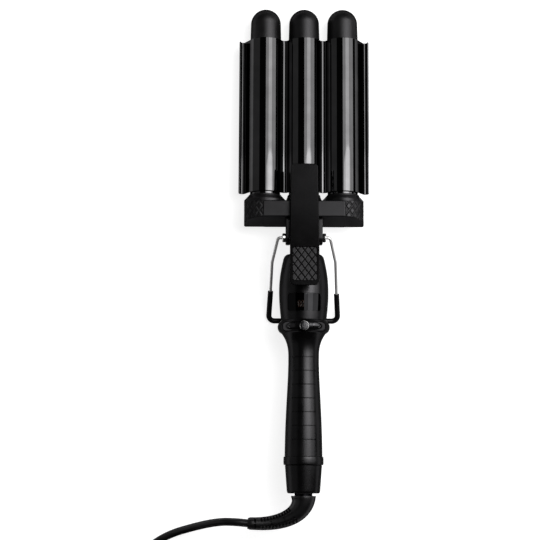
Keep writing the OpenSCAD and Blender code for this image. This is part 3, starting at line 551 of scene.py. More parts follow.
def make_looks():
    """Every finish of the object, by the record's material slots, and a few of its own."""
    c = bpy.context.scene.waver_colours
    plastic, coating, chrome = tuple(c.plastic), tuple(c.coating), tuple(c.chrome)
    # the blacks mirror about as much from every side, so they stay black on the white table
    black = {"metal": 0.94, "edge": 0.25}
    gloss = {"metal": 1, "depth": 0.0006, "edge": 0.25}
    bright = {"metal": 1, "grain": 0.4, "depth": 0.002, "vary": 0.05, "edge": 0.3}
    LOOKS.update({
        "barrel_coating": finish("ceramic_coating", coating, 0.06, grain=0.5, **gloss),
        "plate_coating": finish("plate_lacquer", coating, 0.05, grain=0.6, **gloss),
        "tip_plastic": finish("heat_proof_plastic", tuple(c.tips), 0.42, grain=0.18, depth=0.02,
                              **black),
        "head_plastic": finish("head_plastic", plastic, 0.4, grain=0.16, depth=0.02, **black),
        "handle_plastic": finish("handle_plastic", plastic, 0.29, grain=0.16, depth=0.012, **black),
        # the lever's plastic is a darker tone of the plastic: painted shade on the lever's face
        "lever_plastic": finish("lever_plastic", tone(plastic, 0.34), 0.24, grain=0.16, depth=0.012,
                                **black),
        "pad_plastic": finish("pad_plastic", tone(plastic, 1.6), 0.42, metal=0.5, grain=0.14,
                              depth=0.015, edge=0.25),
        "window_plastic": finish("smoked_window", (0.011, 0.011, 0.0115), 0.04, metal=1, grain=0.8,
                                 depth=0.0005, edge=0.3),
        "button_plastic": finish("button_plastic", tone(plastic, 1.8), 0.15, grain=0.14, depth=0.006,
                                 **black),
        "chrome_trim": finish("chrome_trim", chrome, 0.14, **bright),
        "ring_chrome": finish("smoked_chrome", tone(chrome, 0.4), 0.2, **bright),
        "stand_steel": finish("chromed_wire", chrome, 0.38, metal=0.75, grain=0.3, depth=0.003,
                              vary=0.06, stretch=(1, 0.2, 1)),
        "sleeve_rubber": finish("silicone_sleeve", plastic, 0.42, grain=0.2, depth=0.015, **black),
        "cord_rubber": finish("cord_sheath", tuple(c.cord), 0.32, grain=0.22, depth=0.012, **black),
        "pin_metal": finish("nickel", (0.68, 0.66, 0.62), 0.22, metal=1, grain=0.2, depth=0.004),
        "plain_steel": finish("zinc_steel", (0.55, 0.55, 0.57), 0.34, metal=1, grain=0.25, depth=0.006,
                              stretch=(1, 0.15, 1)),
        "neck_steel": finish("black_enamel", (0.01, 0.01, 0.011), 0.3, metal=1, grain=0.3, depth=0.008,
                             edge=0.1),
        "heater_aluminium": finish("extruded_aluminium", (0.72, 0.72, 0.74), 0.36, metal=1, grain=0.3,
                                   depth=0.008, stretch=(1, 0.05, 1)),
        "sensor_glass": finish("sensor_glass", (0.78, 0.76, 0.7), 0.12, grain=0.5, depth=0.004),
        "board_laminate": finish("board_laminate", (0.03, 0.2, 0.09), 0.4, grain=0.5, depth=0.02,
                                 vary=0.25),
        "display_glass": finish("display_block", (0.03, 0.03, 0.034), 0.15, grain=0.5, depth=0.002),
        "wire_insulation": finish("wire_sleeving", (0.7, 0.7, 0.68), 0.5, grain=0.3, depth=0.02),
        "inner_plastic": finish("inner_plastic", (0.06, 0.06, 0.062), 0.5, grain=0.2, depth=0.02),
        "marks": finish("pale_marks", tuple(c.marks), 0.5, grain=0.2, depth=0.005),
        # the digits' glow is painted as a dim orange colour; they give no light
        "digits": finish("lit_digits_painted_glow", tuple(c.digits), 0.4, grain=0.3, depth=0.002),
    })


# ------------------------------------------------------------------ settings
class WaverColours(bpy.types.PropertyGroup):
    plastic: bpy.props.FloatVectorProperty(
        name="Plastic", description="Colour of the moulded head, lever and handle",
        default=(0.021, 0.0206, 0.0214), size=3, min=0, max=1, subtype="COLOR")
    coating: bpy.props.FloatVectorProperty(
        name="Coating", description="Colour of the glossy barrels and clamp plate",
        default=(0.052, 0.0515, 0.0525), size=3, min=0, max=1, subtype="COLOR")
    tips: bpy.props.FloatVectorProperty(
        name="Tips", description="Colour of the heat-proof barrel tips",
        default=(0.028, 0.0275, 0.0285), size=3, min=0, max=1, subtype="COLOR")
    chrome: bpy.props.FloatVectorProperty(
        name="Chrome", description="Colour of the bright metal",
        default=(0.62, 0.615, 0.61), size=3, min=0, max=1, subtype="COLOR")
    cord: bpy.props.FloatVectorProperty(
        name="Cord", description="Colour of the cord, its elbow and its plug",
        default=(0.04, 0.0395, 0.0405), size=3, min=0, max=1, subtype="COLOR")
    marks: bpy.props.FloatVectorProperty(
        name="Marks", description="Colour of the arrows and the power mark",
        default=(0.07, 0.07, 0.072), size=3, min=0, max=1, subtype="COLOR")
    # the digits' colour is their painted glow
    digits: bpy.props.FloatVectorProperty(
        name="Digits", description="Colour of the display's digits",
        default=(0.03, 0.011, 0.005), size=3, min=0, max=1, subtype="COLOR")


class WaverSizes(bpy.types.PropertyGroup):
    diamond_w: bpy.props.FloatProperty(
        name="Diamond width", description="Width of one diamond of the grip pattern",
        default=5.6 * MM, min=0.002, max=0.01, unit="LENGTH", subtype="DISTANCE")
    diamond_h: bpy.props.FloatProperty(
        name="Diamond height", description="Height of one diamond of the grip pattern",
        default=7.8 * MM, min=0.003, max=0.014, unit="LENGTH", subtype="DISTANCE")
    rib_count: bpy.props.IntProperty(
        name="Elbow ribs", description="Rows of slots in the cord elbow", default=11, min=4, max=14)


class WaverStudio(bpy.types.PropertyGroup):
    lens: bpy.props.FloatProperty(
        name="Lens", description="Focal length on a 36 mm sensor", default=95.5, min=20, max=200)
    panel: bpy.props.FloatProperty(
        name="Main panel", description="Brightness of the large lamp panel", default=6.0, min=0, max=50)
    side: bpy.props.FloatProperty(
        name="Side panel", description="Brightness of the weak lamp panel", default=0.27, min=0, max=50)
    sky: bpy.props.FloatProperty(
        name="Room light", description="Strength of the even light all round",
        default=0.02, min=0, max=2)


# ------------------------------------------------------------------ studio
def make_floor():
    """A pale floor that shows white, yet keeps the object's shadow."""
    # what lights the object, what is shown, and what is added to that to make it white
    pale, shown_grey, shown_glow = 0.8, 0.42, 0.83
    start()
    bpy.ops.mesh.primitive_circle_add(vertices=96, radius=9, fill_type="NGON", location=(0, 0, 0))
    floor = bpy.context.object
    floor.name = "floor"
    look = bpy.data.materials.new("floor_white")
    look.use_nodes = True
    nodes, links = look.node_tree.nodes, look.node_tree.links
    nodes.remove(nodes["Principled BSDF"])

    def add(kind, *sources, setting=None, value=None):
        node = nodes.new("ShaderNode" + kind)
        for i, source in enumerate(sources):
            links.new(source, node.inputs[i])
        if setting:
            node.inputs[setting].default_value = value
        return node

    path = nodes.new("ShaderNodeLightPath").outputs
    seen = add("Math", path["Is Camera Ray"], path["Is Glossy Ray"])
    seen_or_through = add("Math", seen.outputs[0], path["Is Transmission Ray"])
    for either in (seen, seen_or_through):
        either.operation = "MAXIMUM"
    lit = add("BsdfDiffuse", setting="Color", value=(pale, pale, pale, 1))
    shown = add("BsdfDiffuse", setting="Color", value=(shown_grey, shown_grey, shown_grey, 1))
    glow = add("Emission", setting="Strength", value=shown_glow)
    both = add("AddShader", shown.outputs[0], glow.outputs[0])
    mix = add("MixShader", seen_or_through.outputs[0], lit.outputs[0], both.outputs[0])
    links.new(mix.outputs[0], nodes["Material Output"].inputs["Surface"])
    floor.data.materials.append(look)


# Each lamp panel by name: the two angles from straight up that it fills, its place along
# the table, its distance and length in metres, and its share of the main brightness
PANELS = [
    ("panel_top", 1, 19, 0.44, 1.25, 1.16, 0.5),
    ("panel_middle", 19, 42, 0.44, 1.25, 1.16, 1),
    ("panel_outer", 42, 70, 0.44, 1.25, 1.16, 0.52),
    ("panel_heart", 8, 48, 0.25, 1.15, 0.3, 0.8),
]


def make_panel(name, low, high, y, far, length, level):
    """A flat lamp panel that is seen from the object between two angles from straight up."""
    lean = math.radians((low + high) / 2)
    width = 2 * far * math.tan(math.radians(abs(high - low) / 2))
    lamp = bpy.data.lights.new(name, "AREA")
    lamp.shape = "RECTANGLE"
    lamp.size, lamp.size_y = width, length
    lamp.energy = level * math.pi * width * length
    obj = bpy.data.objects.new(name, lamp)
    bpy.context.scene.collection.objects.link(obj)
    obj.matrix_world = Matrix.Rotation(lean, 4, "Y") @ Matrix.Translation((0, y, far))


def make_camera(lens):
    """The camera looks down on the object, a little to its left and leaning towards its foot."""
    lean = math.radians(8.3)
    roll = math.radians(0.276)
    away, side, down = 1.175, 0.0276, 0.02624
    across = Vector((1, 0, 0))
    up = Vector((0, math.cos(lean), math.sin(lean)))
    ahead = Vector((0, math.sin(lean), -math.cos(lean)))
    place = LAY @ (-side * across - down * up - away * ahead)
    turn = LAY.to_3x3()
    right = across * math.cos(roll) + up * math.sin(roll)
    up = up * math.cos(roll) - across * math.sin(roll)
    axes = Matrix((turn @ right, turn @ up, -(turn @ ahead))).transposed()
    cam = bpy.data.cameras.new("camera")
    cam.sensor_width = 36
    cam.lens = lens
    cam.clip_start, cam.clip_end = 0.05, 60
    obj = bpy.data.objects.new("camera", cam)
    bpy.context.scene.collection.objects.link(obj)
    obj.matrix_world = Matrix.Translation(place) @ axes.to_4x4()
    bpy.context.scene.camera = obj


class WAVER_OT_studio(bpy.types.Operator):
    """Sets up the floor, the lamp panels, the room light and the camera"""
    bl_idname = "waver.studio"
    bl_label = "Studio"

    def execute(self, context):
        s = context.scene.waver_studio
        make_camera(s.lens)
        make_floor()
        world = bpy.data.worlds.new("room")
        world.use_nodes = True
        room = world.node_tree.nodes["Background"].inputs
        room["Color"].default_value = (1, 1, 1, 1)
        room["Strength"].default_value = s.sky
        context.scene.world = world
        context.scene.view_settings.view_transform = "Standard"
        for *where, share in PANELS:
            make_panel(*where, share * s.panel)
        make_panel("panel_side", -92, -40, 0.1, 1.4, 1.6, s.side)
        return {"FINISHED"}


# ------------------------------------------------------------------ cord
def coil_points():
    """The turns, inwards on the table and then outwards on top of themselves."""
    out = []
    n = int(COIL_TURNS * COIL_STEPS)
    half = COIL_TURNS / 2
    for i in range(1, n):
        t = i / n * COIL_TURNS
        inward = t <= half
        r = COIL_R_OUT + (COIL_R_IN - COIL_R_OUT) * (t / half if inward else 2 - t / half)
        a = math.pi + 2 * math.pi * t
        # the cord climbs to its upper layer in half a turn
        climb = min(1, max(0, (t - half + 0.25) / 0.5))
        z = CORD_R + LAYER_RISE * climb * climb * (3 - 2 * climb)
        # the lower turns ride over the strap that holds them
        turn = (a + math.pi) % (2 * math.pi) - math.pi
        if inward:
            z += STRAP_LIFT * math.exp(-(turn * r / STRAP_REACH) ** 2)
        out.append(Vector((COIL_CENTRE[0] + r * math.cos(a), COIL_CENTRE[1] + r * math.sin(a), z)))
    return out


class WAVER_OT_cord(bpy.types.Operator):
    """Makes the mains cord with its coil, the strap, the plug and its pins"""
    bl_idname = "waver.cord"
    bl_label = "Cord and plug"

    def execute(self, context):
        plug = self.make_plug()
        pins = self.make_pins()
        strap = self.make_strap()
        line = through(CORD_ROUTE, 4) + coil_points() + through(TAIL_ROUTE, 4)
        cord = line_curve(line, CORD_R, 16)
        cord.name = "mains_cord_flex"
        for spline in cord.data.splines:
            spline.use_smooth = True
        cord.data.materials.clear()
        cord.data.materials.append(LOOKS["cord_rubber"])
        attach(cord, "handle")
        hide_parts("mains_cord", "cord_coil", "cord_tail")
        return {"FINISHED"}

    def make_plug(self):
        """The plug's body with grip grooves in its shoulders, and its ringed neck."""
        x, y, z = PLUG_START
        flank = [(PLUG_NECK, 5.5), (PLUG_NECK + 5, 6.5), (PLUG_NECK + 12, 11),
                 (PLUG_NECK + 16, PLUG_HALF), (PLUG_FACE, PLUG_HALF)]
        outline = [(a, -b) for a, b in flank] + flank[::-1]
        body = slab([(x + a, y + b) for a, b in outline], 0.05, 2 * z)
        soften(body, 2.2, 4, 20)
        for i, along in enumerate(PLUG_RIBS):
            for side in (-1, 1):
                a = x + PLUG_NECK + 3 + along
                b = y + side * (8.4 + 1.5 * i)
                groove = [(a - 0.5, b - 3), (a + 0.5, b - 3), (a + 0.5, b + 3), (a - 0.5, b + 3)]
                cut(body, slab(groove, -1, 15))
        thick, thin = 4.75, 4.0
        neck = [(0, 0), (thick - 0.15, 0), (thick, 0.4)]
        for along in PLUG_RIBS:
            at = 0.8 + along
            neck += [(thick, at + 1.3), (thin, at + 1.6), (thin, at + 2.3), (thick, at + 2.6)]
        neck += [(thick, PLUG_NECK + 3), (0, PLUG_NECK + 3)]
        sleeve = turned(neck, (x, y, z), "X", steps=32)
        plug = join([body, sleeve])
        return done(plug, "plug_finished", "cord_rubber", nodes=["plug_body"], laid=False)

    def make_pins(self):
        """The plug's two round pins."""
        x, y, z = PLUG_START
        shank = [(0, PLUG_FACE), (PIN_R, PLUG_FACE), (PIN_R, PIN_END - 1.4), (PIN_R - 0.3, PIN_END - 0.5),
                 (PIN_R - 1, PIN_END - 0.05), (0, PIN_END)]
        pins = [turned(shank, (x, y + side * PIN_OUT, z), "X", steps=28) for side in (-1, 1)]
        return done(join(pins), "plug_pins_finished", "pin_metal", nodes=["plug_pins"], laid=False)

    def make_strap(self):
        """A flat band round one side of the coil."""
        play, wall, half = 0.5, 0.95, 6
        r0 = COIL_R_IN - CORD_R - play
        r1 = COIL_R_OUT + CORD_R + play
        x, y = COIL_CENTRE
        w, h = r1 - r0, COIL_H
        outer = [(x + (r0 + r1) / 2 + a, h / 2 + b) for a, b in round_rect(w, h, 3.2)]
        inner = [(x + (r0 + r1) / 2 + a, h / 2 + b)
                 for a, b in round_rect(w - 2 * wall, h - 2 * wall, 2.3)]
        band = slab(outer, y - half, y + half, "XZ")
        cut(band, slab(inner, y - half - 2, y + half + 2, "XZ"))
        soften(band, 0.25, 2)
        return done(band, "cord_tie_finished", "cord_rubber", nodes=["cord_tie"], laid=False)


# ------------------------------------------------------------------ barrels
class WAVER_OT_barrels(bpy.types.Operator):
    """Makes the three tubes, their round tips and their collars"""
    bl_idname = "waver.barrels"
    bl_label = "Barrels"

    def execute(self, context):
        inner = BARREL_R - BARREL_WALL
        # rows along the tube keep its faces short, and so its shading even
        tube = [(BARREL_R, s) for s in (BARREL_FOOT, 60, 100, 140, BARREL_END - 0.3)]
        tube += [(BARREL_R - 0.3, BARREL_END), (inner, BARREL_END), (inner, BARREL_FOOT)]
        base = BARREL_R + TIP_STEP
        plug = inner - 0.05
        tip = [(0, BARREL_END - 6), (plug, BARREL_END - 6), (plug, BARREL_END),
               (base - 0.35, BARREL_END), (base - 0.1, BARREL_END + 0.1), (base, BARREL_END + 0.35),
               (base - 0.04, BARREL_END + 1.6)]
        tip += arc(0, TIP_CENTRE, BARREL_R, 0, 90, 28)
        bore = BARREL_R + 0.05
        collar = [(bore, 27.4), (14.8, 27.4), (14.8, 30.9), (14.7, 31.3), (13.75, 33.8), (13.6, 34.1),
                  (13.6, 34.9), (13.4, 35.2), (13.1, COLLAR_TOP), (bore, COLLAR_TOP)]
        for side, x in BARREL_XS.items():
            done(turned(tube, (x, 0, 0), steps=128, closed=True), "barrel_" + side, "barrel_coating",
                 nodes=["barrel_tube_" + side])
            done(turned(tip, (x, 0, 0), steps=96), "tip_" + side, "tip_plastic",
                 nodes=["barrel_tip_" + side])
            done(turned(collar, (x, 0, 0), steps=96, closed=True), "collar_" + side, "head_plastic",
                 nodes=["barrel_collar_" + side])
        return {"FINISHED"}


# ------------------------------------------------------------------ head
def diamond_field(width, height, land, slope, relief, crown=0):
    """A flat field of raised diamonds, centred, in millimetres; it stays in edit mode.

    land is half the flat between two diamonds, slope how far their flanks run in,
    relief how high they stand, and crown how high their tops rise above that.
    """
    sizes = bpy.context.scene.waver_sizes
    cell_w, cell_h = sizes.diamond_w / MM, sizes.diamond_h / MM
    start()
    n = math.ceil(width / cell_w + height / cell_h) + 1
    bpy.ops.mesh.primitive_grid_add(x_subdivisions=n, y_subdivisions=n, size=1)
    bpy.ops.object.mode_set(mode="EDIT")
    bpy.ops.mesh.select_all(action="SELECT")
    bpy.ops.transform.rotate(value=math.radians(45), orient_axis="Z", center_override=(0, 0, 0))
    half = math.sqrt(0.5)
    bpy.ops.transform.resize(value=(0.5 * n * cell_w * MM / half, 0.5 * n * cell_h * MM / half, 1),
                             center_override=(0, 0, 0))
    bpy.ops.mesh.select_mode(type="FACE")
    bpy.ops.mesh.select_all(action="SELECT")
    bpy.ops.mesh.inset(thickness=land * MM, depth=0, use_individual=True)
    bpy.ops.mesh.inset(thickness=slope * MM, depth=relief * MM, use_individual=True)
    if crown:
        bpy.ops.mesh.inset(thickness=2 * crown * MM, depth=crown * MM, use_individual=True)


def slope_planes(grow):
    """Where the block's four slopes lie, moved outwards by grow, as (point, outward) pairs."""
    planes = []
    for side in (-1, 1):
        for ridge, edge in ((HEAD_LOW, FACE_LOW), (HEAD_TOP, FACE_TOP)):
            run = Vector((0, edge - ridge, side * HEAD_DEEP)).normalized()
            turn = 1 if (ridge < edge) == (side > 0) else -1
            out = turn * Vector((0, -run.z, run.y))
            planes.append((Vector((0, ridge, 0)) + out * grow, out))
    return planes


class WAVER_OT_head(bpy.types.Operator):
    """Makes the head block with its patterned ends, and its screws"""
    bl_idname = "waver.head"
    bl_label = "Head"
    sink = 0.75  # how far the patterned ends lie under the block's outline

    def execute(self, context):
        for name, side in (("front", 1), ("rear", -1)):
            cover = self.make_cover(side)
            if side < 0:
                for x, s in HEAD_SCREWS:
                    well = [(0, -18), (SCREW_WELL_R, -18), (SCREW_WELL_R, HEAD_SEAT), (0, HEAD_SEAT)]
                    cut(cover, turned(well, (x, s, 0), "Z", steps=32))
            done(cover, f"head_{name}_moulding", "head_plastic", nodes=[f"head_{name}_cover"])
        for name, side in (("left", -1), ("right", 1)):
            self.make_diamonds(name, side)
        screws = [make_screw(x, s, HEAD_SEAT, 12) for x, s in HEAD_SCREWS]
        done(join(screws), "head_screws_finished", "plain_steel", nodes=["head_screws"])
        return {"FINISHED"}

    def sloped(self, outline, grow):
        """An outline from above as a block that the four slopes trim, with rounded edges."""
        tall = HEAD_TOP - HEAD_LOW + 2
        block = slab(outline, HEAD_MIDDLE - tall / 2, HEAD_MIDDLE + tall / 2, "XZ")
        for point, out in slope_planes(grow):
            trim(block, point, out)
        return soften(block, 0.9, 4, 24)

    def make_cover(self, side):
        """One half of the block: its smooth middle, its ends, and the feet of the collars."""
        block = self.sloped([(-SMOOTH_HALF, -HEAD_DEEP), (SMOOTH_HALF, -HEAD_DEEP),
                             (SMOOTH_HALF, HEAD_DEEP), (-SMOOTH_HALF, HEAD_DEEP)], 0)
        w = 2 * (HEAD_HALF - self.sink)
        h = 2 * (HEAD_DEEP - self.sink)
        ends = self.sloped(round_rect(w, h, HEAD_CORNER - self.sink, 14), -0.12)
        cut(block, ends, "UNION")
        seam = side * 0.07
        trim(block, (0, 0, seam), (0, 0, -side))
        foot_r, top_r, foot, shoulder, top, flat = 17.2, 13.4, 27, 31, 35.1, 0.86
        cone_line = [(0, foot), (foot_r, foot), (foot_r, shoulder), (top_r, top), (0, top)]
        for end in (-1, 1):
            cone = turned(cone_line, (end * BARREL_PITCH, 0, 0), steps=96)
            put(cone, Matrix.Diagonal((1, 1, flat, 1)))
            trim(cone, (0, 0, seam), (0, 0, -side))
            cut(block, cone, "UNION")
        return block

    def make_diamonds(self, name, end):
        """The patterned skin of one end: a flat field that is wrapped round it."""
        corner = HEAD_CORNER - self.sink
        flat = HEAD_HALF - HEAD_CORNER - SMOOTH_HALF
        quarter = corner * math.pi / 2
        end_flat = 2 * (HEAD_DEEP - HEAD_CORNER)
        length = 2 * (flat + quarter) + end_flat
        diamond_field(length + 12, 42, land=0.12, slope=0.95, relief=0.45)
        bpy.ops.object.mode_set(mode="OBJECT")
        field = bpy.context.object
        trim(field, (length / 2, 0, 0), (1, 0, 0), fill=False)
        trim(field, (-length / 2, 0, 0), (-1, 0, 0), fill=False)
        centre_x = HEAD_HALF - HEAD_CORNER
        for v in field.data.vertices:
            w, s, high = v.co / MM
            run = abs(w) - end_flat / 2
            if run <= 0:
                at, out = Vector((centre_x + corner, abs(w))), Vector((1, 0))
            elif run <= quarter:
                a = run / corner
                out = Vector((math.cos(a), math.sin(a)))
                at = Vector((centre_x, end_flat / 2)) + out * corner
            else:
                at, out = Vector((centre_x - (run - quarter), end_flat / 2 + corner)), Vector((0, 1))
            at += out * (high + 0.02)
            v.co = Vector((end * at.x, s + HEAD_MIDDLE, math.copysign(at.y, w))) * MM
        for point, out in slope_planes(-0.45):
            trim(field, point, out, fill=False)
        # the two corners of the end are cut off a little
        corner_cut = 1.3
        for level, away in ((HEAD_LOW, -1), (HEAD_TOP, 1)):
            trim(field, (end * (HEAD_HALF - corner_cut), level, 0), (end, away, 0), fill=False)
        open_up(field)
        close_up()
        if end * sum((f.normal.x * f.area for f in field.data.polygons)) < 0:
            field.data.flip_normals()
        shape(field, "SOLIDIFY", thickness=0.7 * MM, offset=-1, use_even_offset=False)
        done(field, f"head_diamonds_{name}", "head_plastic", angle=14)


def make_screw(x, s, seat, tip):
    """A pan-head screw with a cross recess, its head towards the back."""
    shank_r, reach, slot = 1.4, 1.5, 0.32
    profile = [(0, -1.3), (1.2, -1.3), (2.0, -1.12), (2.45, -0.75), (2.6, -0.3), (2.6, 0), (shank_r, 0),
               (shank_r, tip - seat - 1), (0, tip - seat)]
    screw = turned(profile, (x, s, seat), "Z", steps=32)
    for a, b in ((reach, slot), (slot, reach)):
        bar = [(x - a, s - b), (x + a, s - b), (x + a, s + b), (x - a, s + b)]
        cut(screw, slab(bar, seat - 2, seat - 0.55))
    return screw


# ------------------------------------------------------------------ hinge
class WAVER_OT_hinge(bpy.types.Operator):
    """Makes the saddle with its ears, the bright bushes, the neck, pin and spring"""
    bl_idname = "waver.hinge"
    bl_label = "Hinge"

    def execute(self, context):
        # the saddle from the side, in (s, rise)
        back, foot = -10, -4.2
        outline = [(15.1, back), (15.1, HINGE_RISE), (13, HINGE_RISE + EAR_R - 0.6),
                   (12, HINGE_RISE + EAR_R)]
        outline += arc(HINGE_S, HINGE_RISE, EAR_R, 90, 180, 12)
        outline += [(-7.2, 7), (-5.4, 3.5), (foot, -2), (foot, back)]
        saddle = slab(outline, -EAR_OUT, EAR_OUT, "YZ")
        soften(saddle, 0.7, 3, 40)
        cut(saddle, slab([(-EAR_IN, -9.5), (EAR_IN, -9.5), (EAR_IN, 20), (-EAR_IN, 20)], 6, 24))
        bore = NECK_R + 0.05
        cut(saddle, turned([(0, -10), (bore, -10), (bore, 17), (0, 17)], steps=64))
        done(saddle, "pivot_saddle_moulding", "head_plastic", nodes=["pivot_saddle"])
        # a bush in (radius, depth into the ear)
        ring = [(1.3, 0.5), (1.3, -2.9), (2.4, -2.9), (3.2, -2.75), (3.65, -2.3), (3.65, -0.6),
                (3.4, -0.15), (3.0, 0), (2.2, 0), (2.2, 0.5)]
        bushes = [turned([(r, -side * h) for r, h in ring], (side * EAR_OUT, HINGE_S, HINGE_RISE), "X",
                         steps=40, closed=True) for side in (-1, 1)]
        done(join(bushes), "pivot_bushes_finished", "chrome_trim", nodes=["pivot_bushes"])
        dressed_copy("neck_tube", "neck_steel")
        dressed_copy("hinge_pin", "plain_steel")
        dressed_copy("clamp_spring", "plain_steel", angle=60)
        return {"FINISHED"}


# ------------------------------------------------------------------ clamp
def plate_line():
    """The corrugated mid-line in (x, rise), from the left lip to the right lip."""
    valley = math.degrees(math.atan2(VALLEY_RISE, BARREL_PITCH / 2))
    wing = math.radians(WING_ANGLE)
    lip = math.radians(LIP_ANGLE)
    foot_x = (BARREL_PITCH + PLATE_MID * math.cos(wing) + WING_LEN * math.sin(wing)
              + TROUGH_R * math.cos(wing))
    foot_y = PLATE_MID * math.sin(wing) - WING_LEN * math.cos(wing) + TROUGH_R * math.sin(wing)
    half = arc(0, 0, PLATE_MID, 90, valley, 36)
    half += arc(BARREL_PITCH / 2, VALLEY_RISE, VALLEY_R, valley + 180, 360 - valley, 28)[1:]
    half += arc(BARREL_PITCH, 0, PLATE_MID, 180 - valley, WING_ANGLE, 72)[1:]
    half += arc(foot_x, foot_y, TROUGH_R, 180 + WING_ANGLE, 270 + LIP_ANGLE, 12)
    x, z = half[-1]
    half.append((x + LIP_LEN * math.cos(lip), z + LIP_LEN * math.sin(lip)))
    return [(-x, z) for x, z in reversed(half[1:])] + half


class WAVER_OT_plate(bpy.types.Operator):
    """Makes the corrugated clamp plate and what fixes it to the lever"""
    bl_idname = "waver.plate"
    bl_label = "Clamp plate"

    def execute(self, context):
        pen([(x, PLATE_LOW, z) for x, z in plate_line()])
        rows = 6
        step = (BARREL_END - PLATE_LOW) / rows
        for _ in range(rows):
            bpy.ops.mesh.extrude_region_move(TRANSFORM_OT_translate={"value": (0, step * MM, 0)})
        plate = close_up()
        shape(plate, "SOLIDIFY", thickness=PLATE_T * MM, offset=0, use_even_offset=True)
        soften(plate, 0.28, 2, 50)
        done(plate, "clamp_plate_pressed", "plate_coating", "clamp", ["clamp_plate"], angle=40)
        dressed_copy("clamp_bracket", "plain_steel", "clamp")
        dressed_copy("clamp_rivets", "plain_steel", "clamp")
        return {"FINISHED"}


def lever_line(n=40):
    """The lever's outer face in (s, rise)."""
    curve = bezier([(LEVER_TOP, 19.3), (34, 19.8), (14, PAD_TOP_RISE - 7), (PAD_TOP_S, PAD_TOP_RISE)], n)
    return curve + [(LEVER_LOW, 40.0)]


PAD_PLACE = (Matrix.Translation(Vector((0, PAD_TOP_S, PAD_TOP_RISE)) * MM)
             @ Matrix.Rotation(-PAD_SLOPE, 4, "X")
             @ Matrix.Translation(Vector((0, -PAD_LEN / 2 - PAD_LEAD, 0)) * MM))


class WAVER_OT_lever(bpy.types.Operator):
    """Makes the clamp lever and its thumb pad"""
    bl_idname = "waver.lever"
    bl_label = "Lever"

    def execute(self, context):
        line = lever_line()
        under = [(s, z - LEVER_T) for s, z in reversed(line)]
        lever = slab(line + under, -13, 13, "YZ")
        cut(lever, slab(self.plan(), 5, 50), "INTERSECT")
        # without its slivers the edges can be rounded
        open_up(lever)
        bpy.ops.mesh.remove_doubles(threshold=0.35 * MM)
        bpy.ops.object.mode_set(mode="OBJECT")
        soften(lever, 1.1, 4, 40)
        recess = slab(round_rect(PAD_W + 0.1, PAD_LEN + 0.1, PAD_CORNER), -PAD_SINK, 5)
        cut(lever, put(recess, PAD_PLACE))
        # the lever takes the darker plastic, which paints in the shade on its face
        done(lever, "clamp_lever_moulding", "lever_plastic", "clamp", ["clamp_lever"], angle=32)
        self.make_pad()
        return {"FINISHED"}

    def plan(self):
        """The lever from above: a nearly square top, and a foot with rounder corners."""
        top_half, pad_half = 11.1, 11.8
        top_r, foot_r, bow = 2.6, 4, 0.35
        x, s = top_half - top_r, LEVER_TOP - bow
        plan = [(-x, s), (0, LEVER_TOP), (x, s)]
        plan += reversed(arc(x, s - top_r, top_r, 0, 84, 8))
        plan += [(pad_half, PAD_TOP_S)]
        plan += reversed(arc(pad_half - foot_r, LEVER_LOW + foot_r, foot_r, -90, 0, 8))
        return plan + [(-x, s) for x, s in reversed(plan[3:])]

    def make_pad(self):
        """The pad: a plain base in the lever's recess, and the diamonds that stand on it; the base takes
        the darker lever plastic as painted shade in the grooves.
        """
        base = slab(round_rect(PAD_W, PAD_LEN, PAD_CORNER), 0.01 - PAD_SINK, 0.28 - PAD_SINK)
        # the base shows between and round the diamonds: its darker plastic is painted shade in the
        # grooves
        done(put(base, PAD_PLACE), "thumb_pad_base_painted_shade", "pad_plastic", "clamp", look=LOOKS["lever_plastic"])
        diamond_field(PAD_W, PAD_LEN, land=0.36, slope=0.14, relief=0.93, crown=0.08)
        # closed below, so that it can be cut to the pad's outline
        pick("EDGE", lambda e: e.is_boundary)
        bpy.ops.mesh.extrude_region_move(TRANSFORM_OT_translate={"value": (0, 0, -0.15 * MM)})
        bpy.ops.mesh.edge_face_add()
        field = put(close_up(), Matrix.Translation((0, 0, (0.22 - PAD_SINK) * MM)))
        rim = 0.9
        cut(field, slab(round_rect(PAD_W - rim, PAD_LEN - rim, 2.1), -3, 3), "INTERSECT")
        done(put(field, PAD_PLACE), "thumb_pad_diamonds", "pad_plastic", "clamp", ["thumb_pad"],
             angle=25)


# ------------------------------------------------------------------ stand
def round_corner(a, corner, b, r, n=8):
    """Points that round the corner between two straight lines."""
    u, v = (a - corner).normalized(), (b - corner).normalized()
    half = u.angle(v) / 2
    reach = r / math.tan(half)
    centre = corner + (u + v).normalized() * r / math.sin(half)
    p, q = corner + u * reach - centre, corner + v * reach - centre
    sweep = p.angle(q)
    k = math.sin(sweep)
    return [centre + p * math.sin((1 - i / n) * sweep) / k + q * math.sin(i / n * sweep) / k
            for i in range(n + 1)]


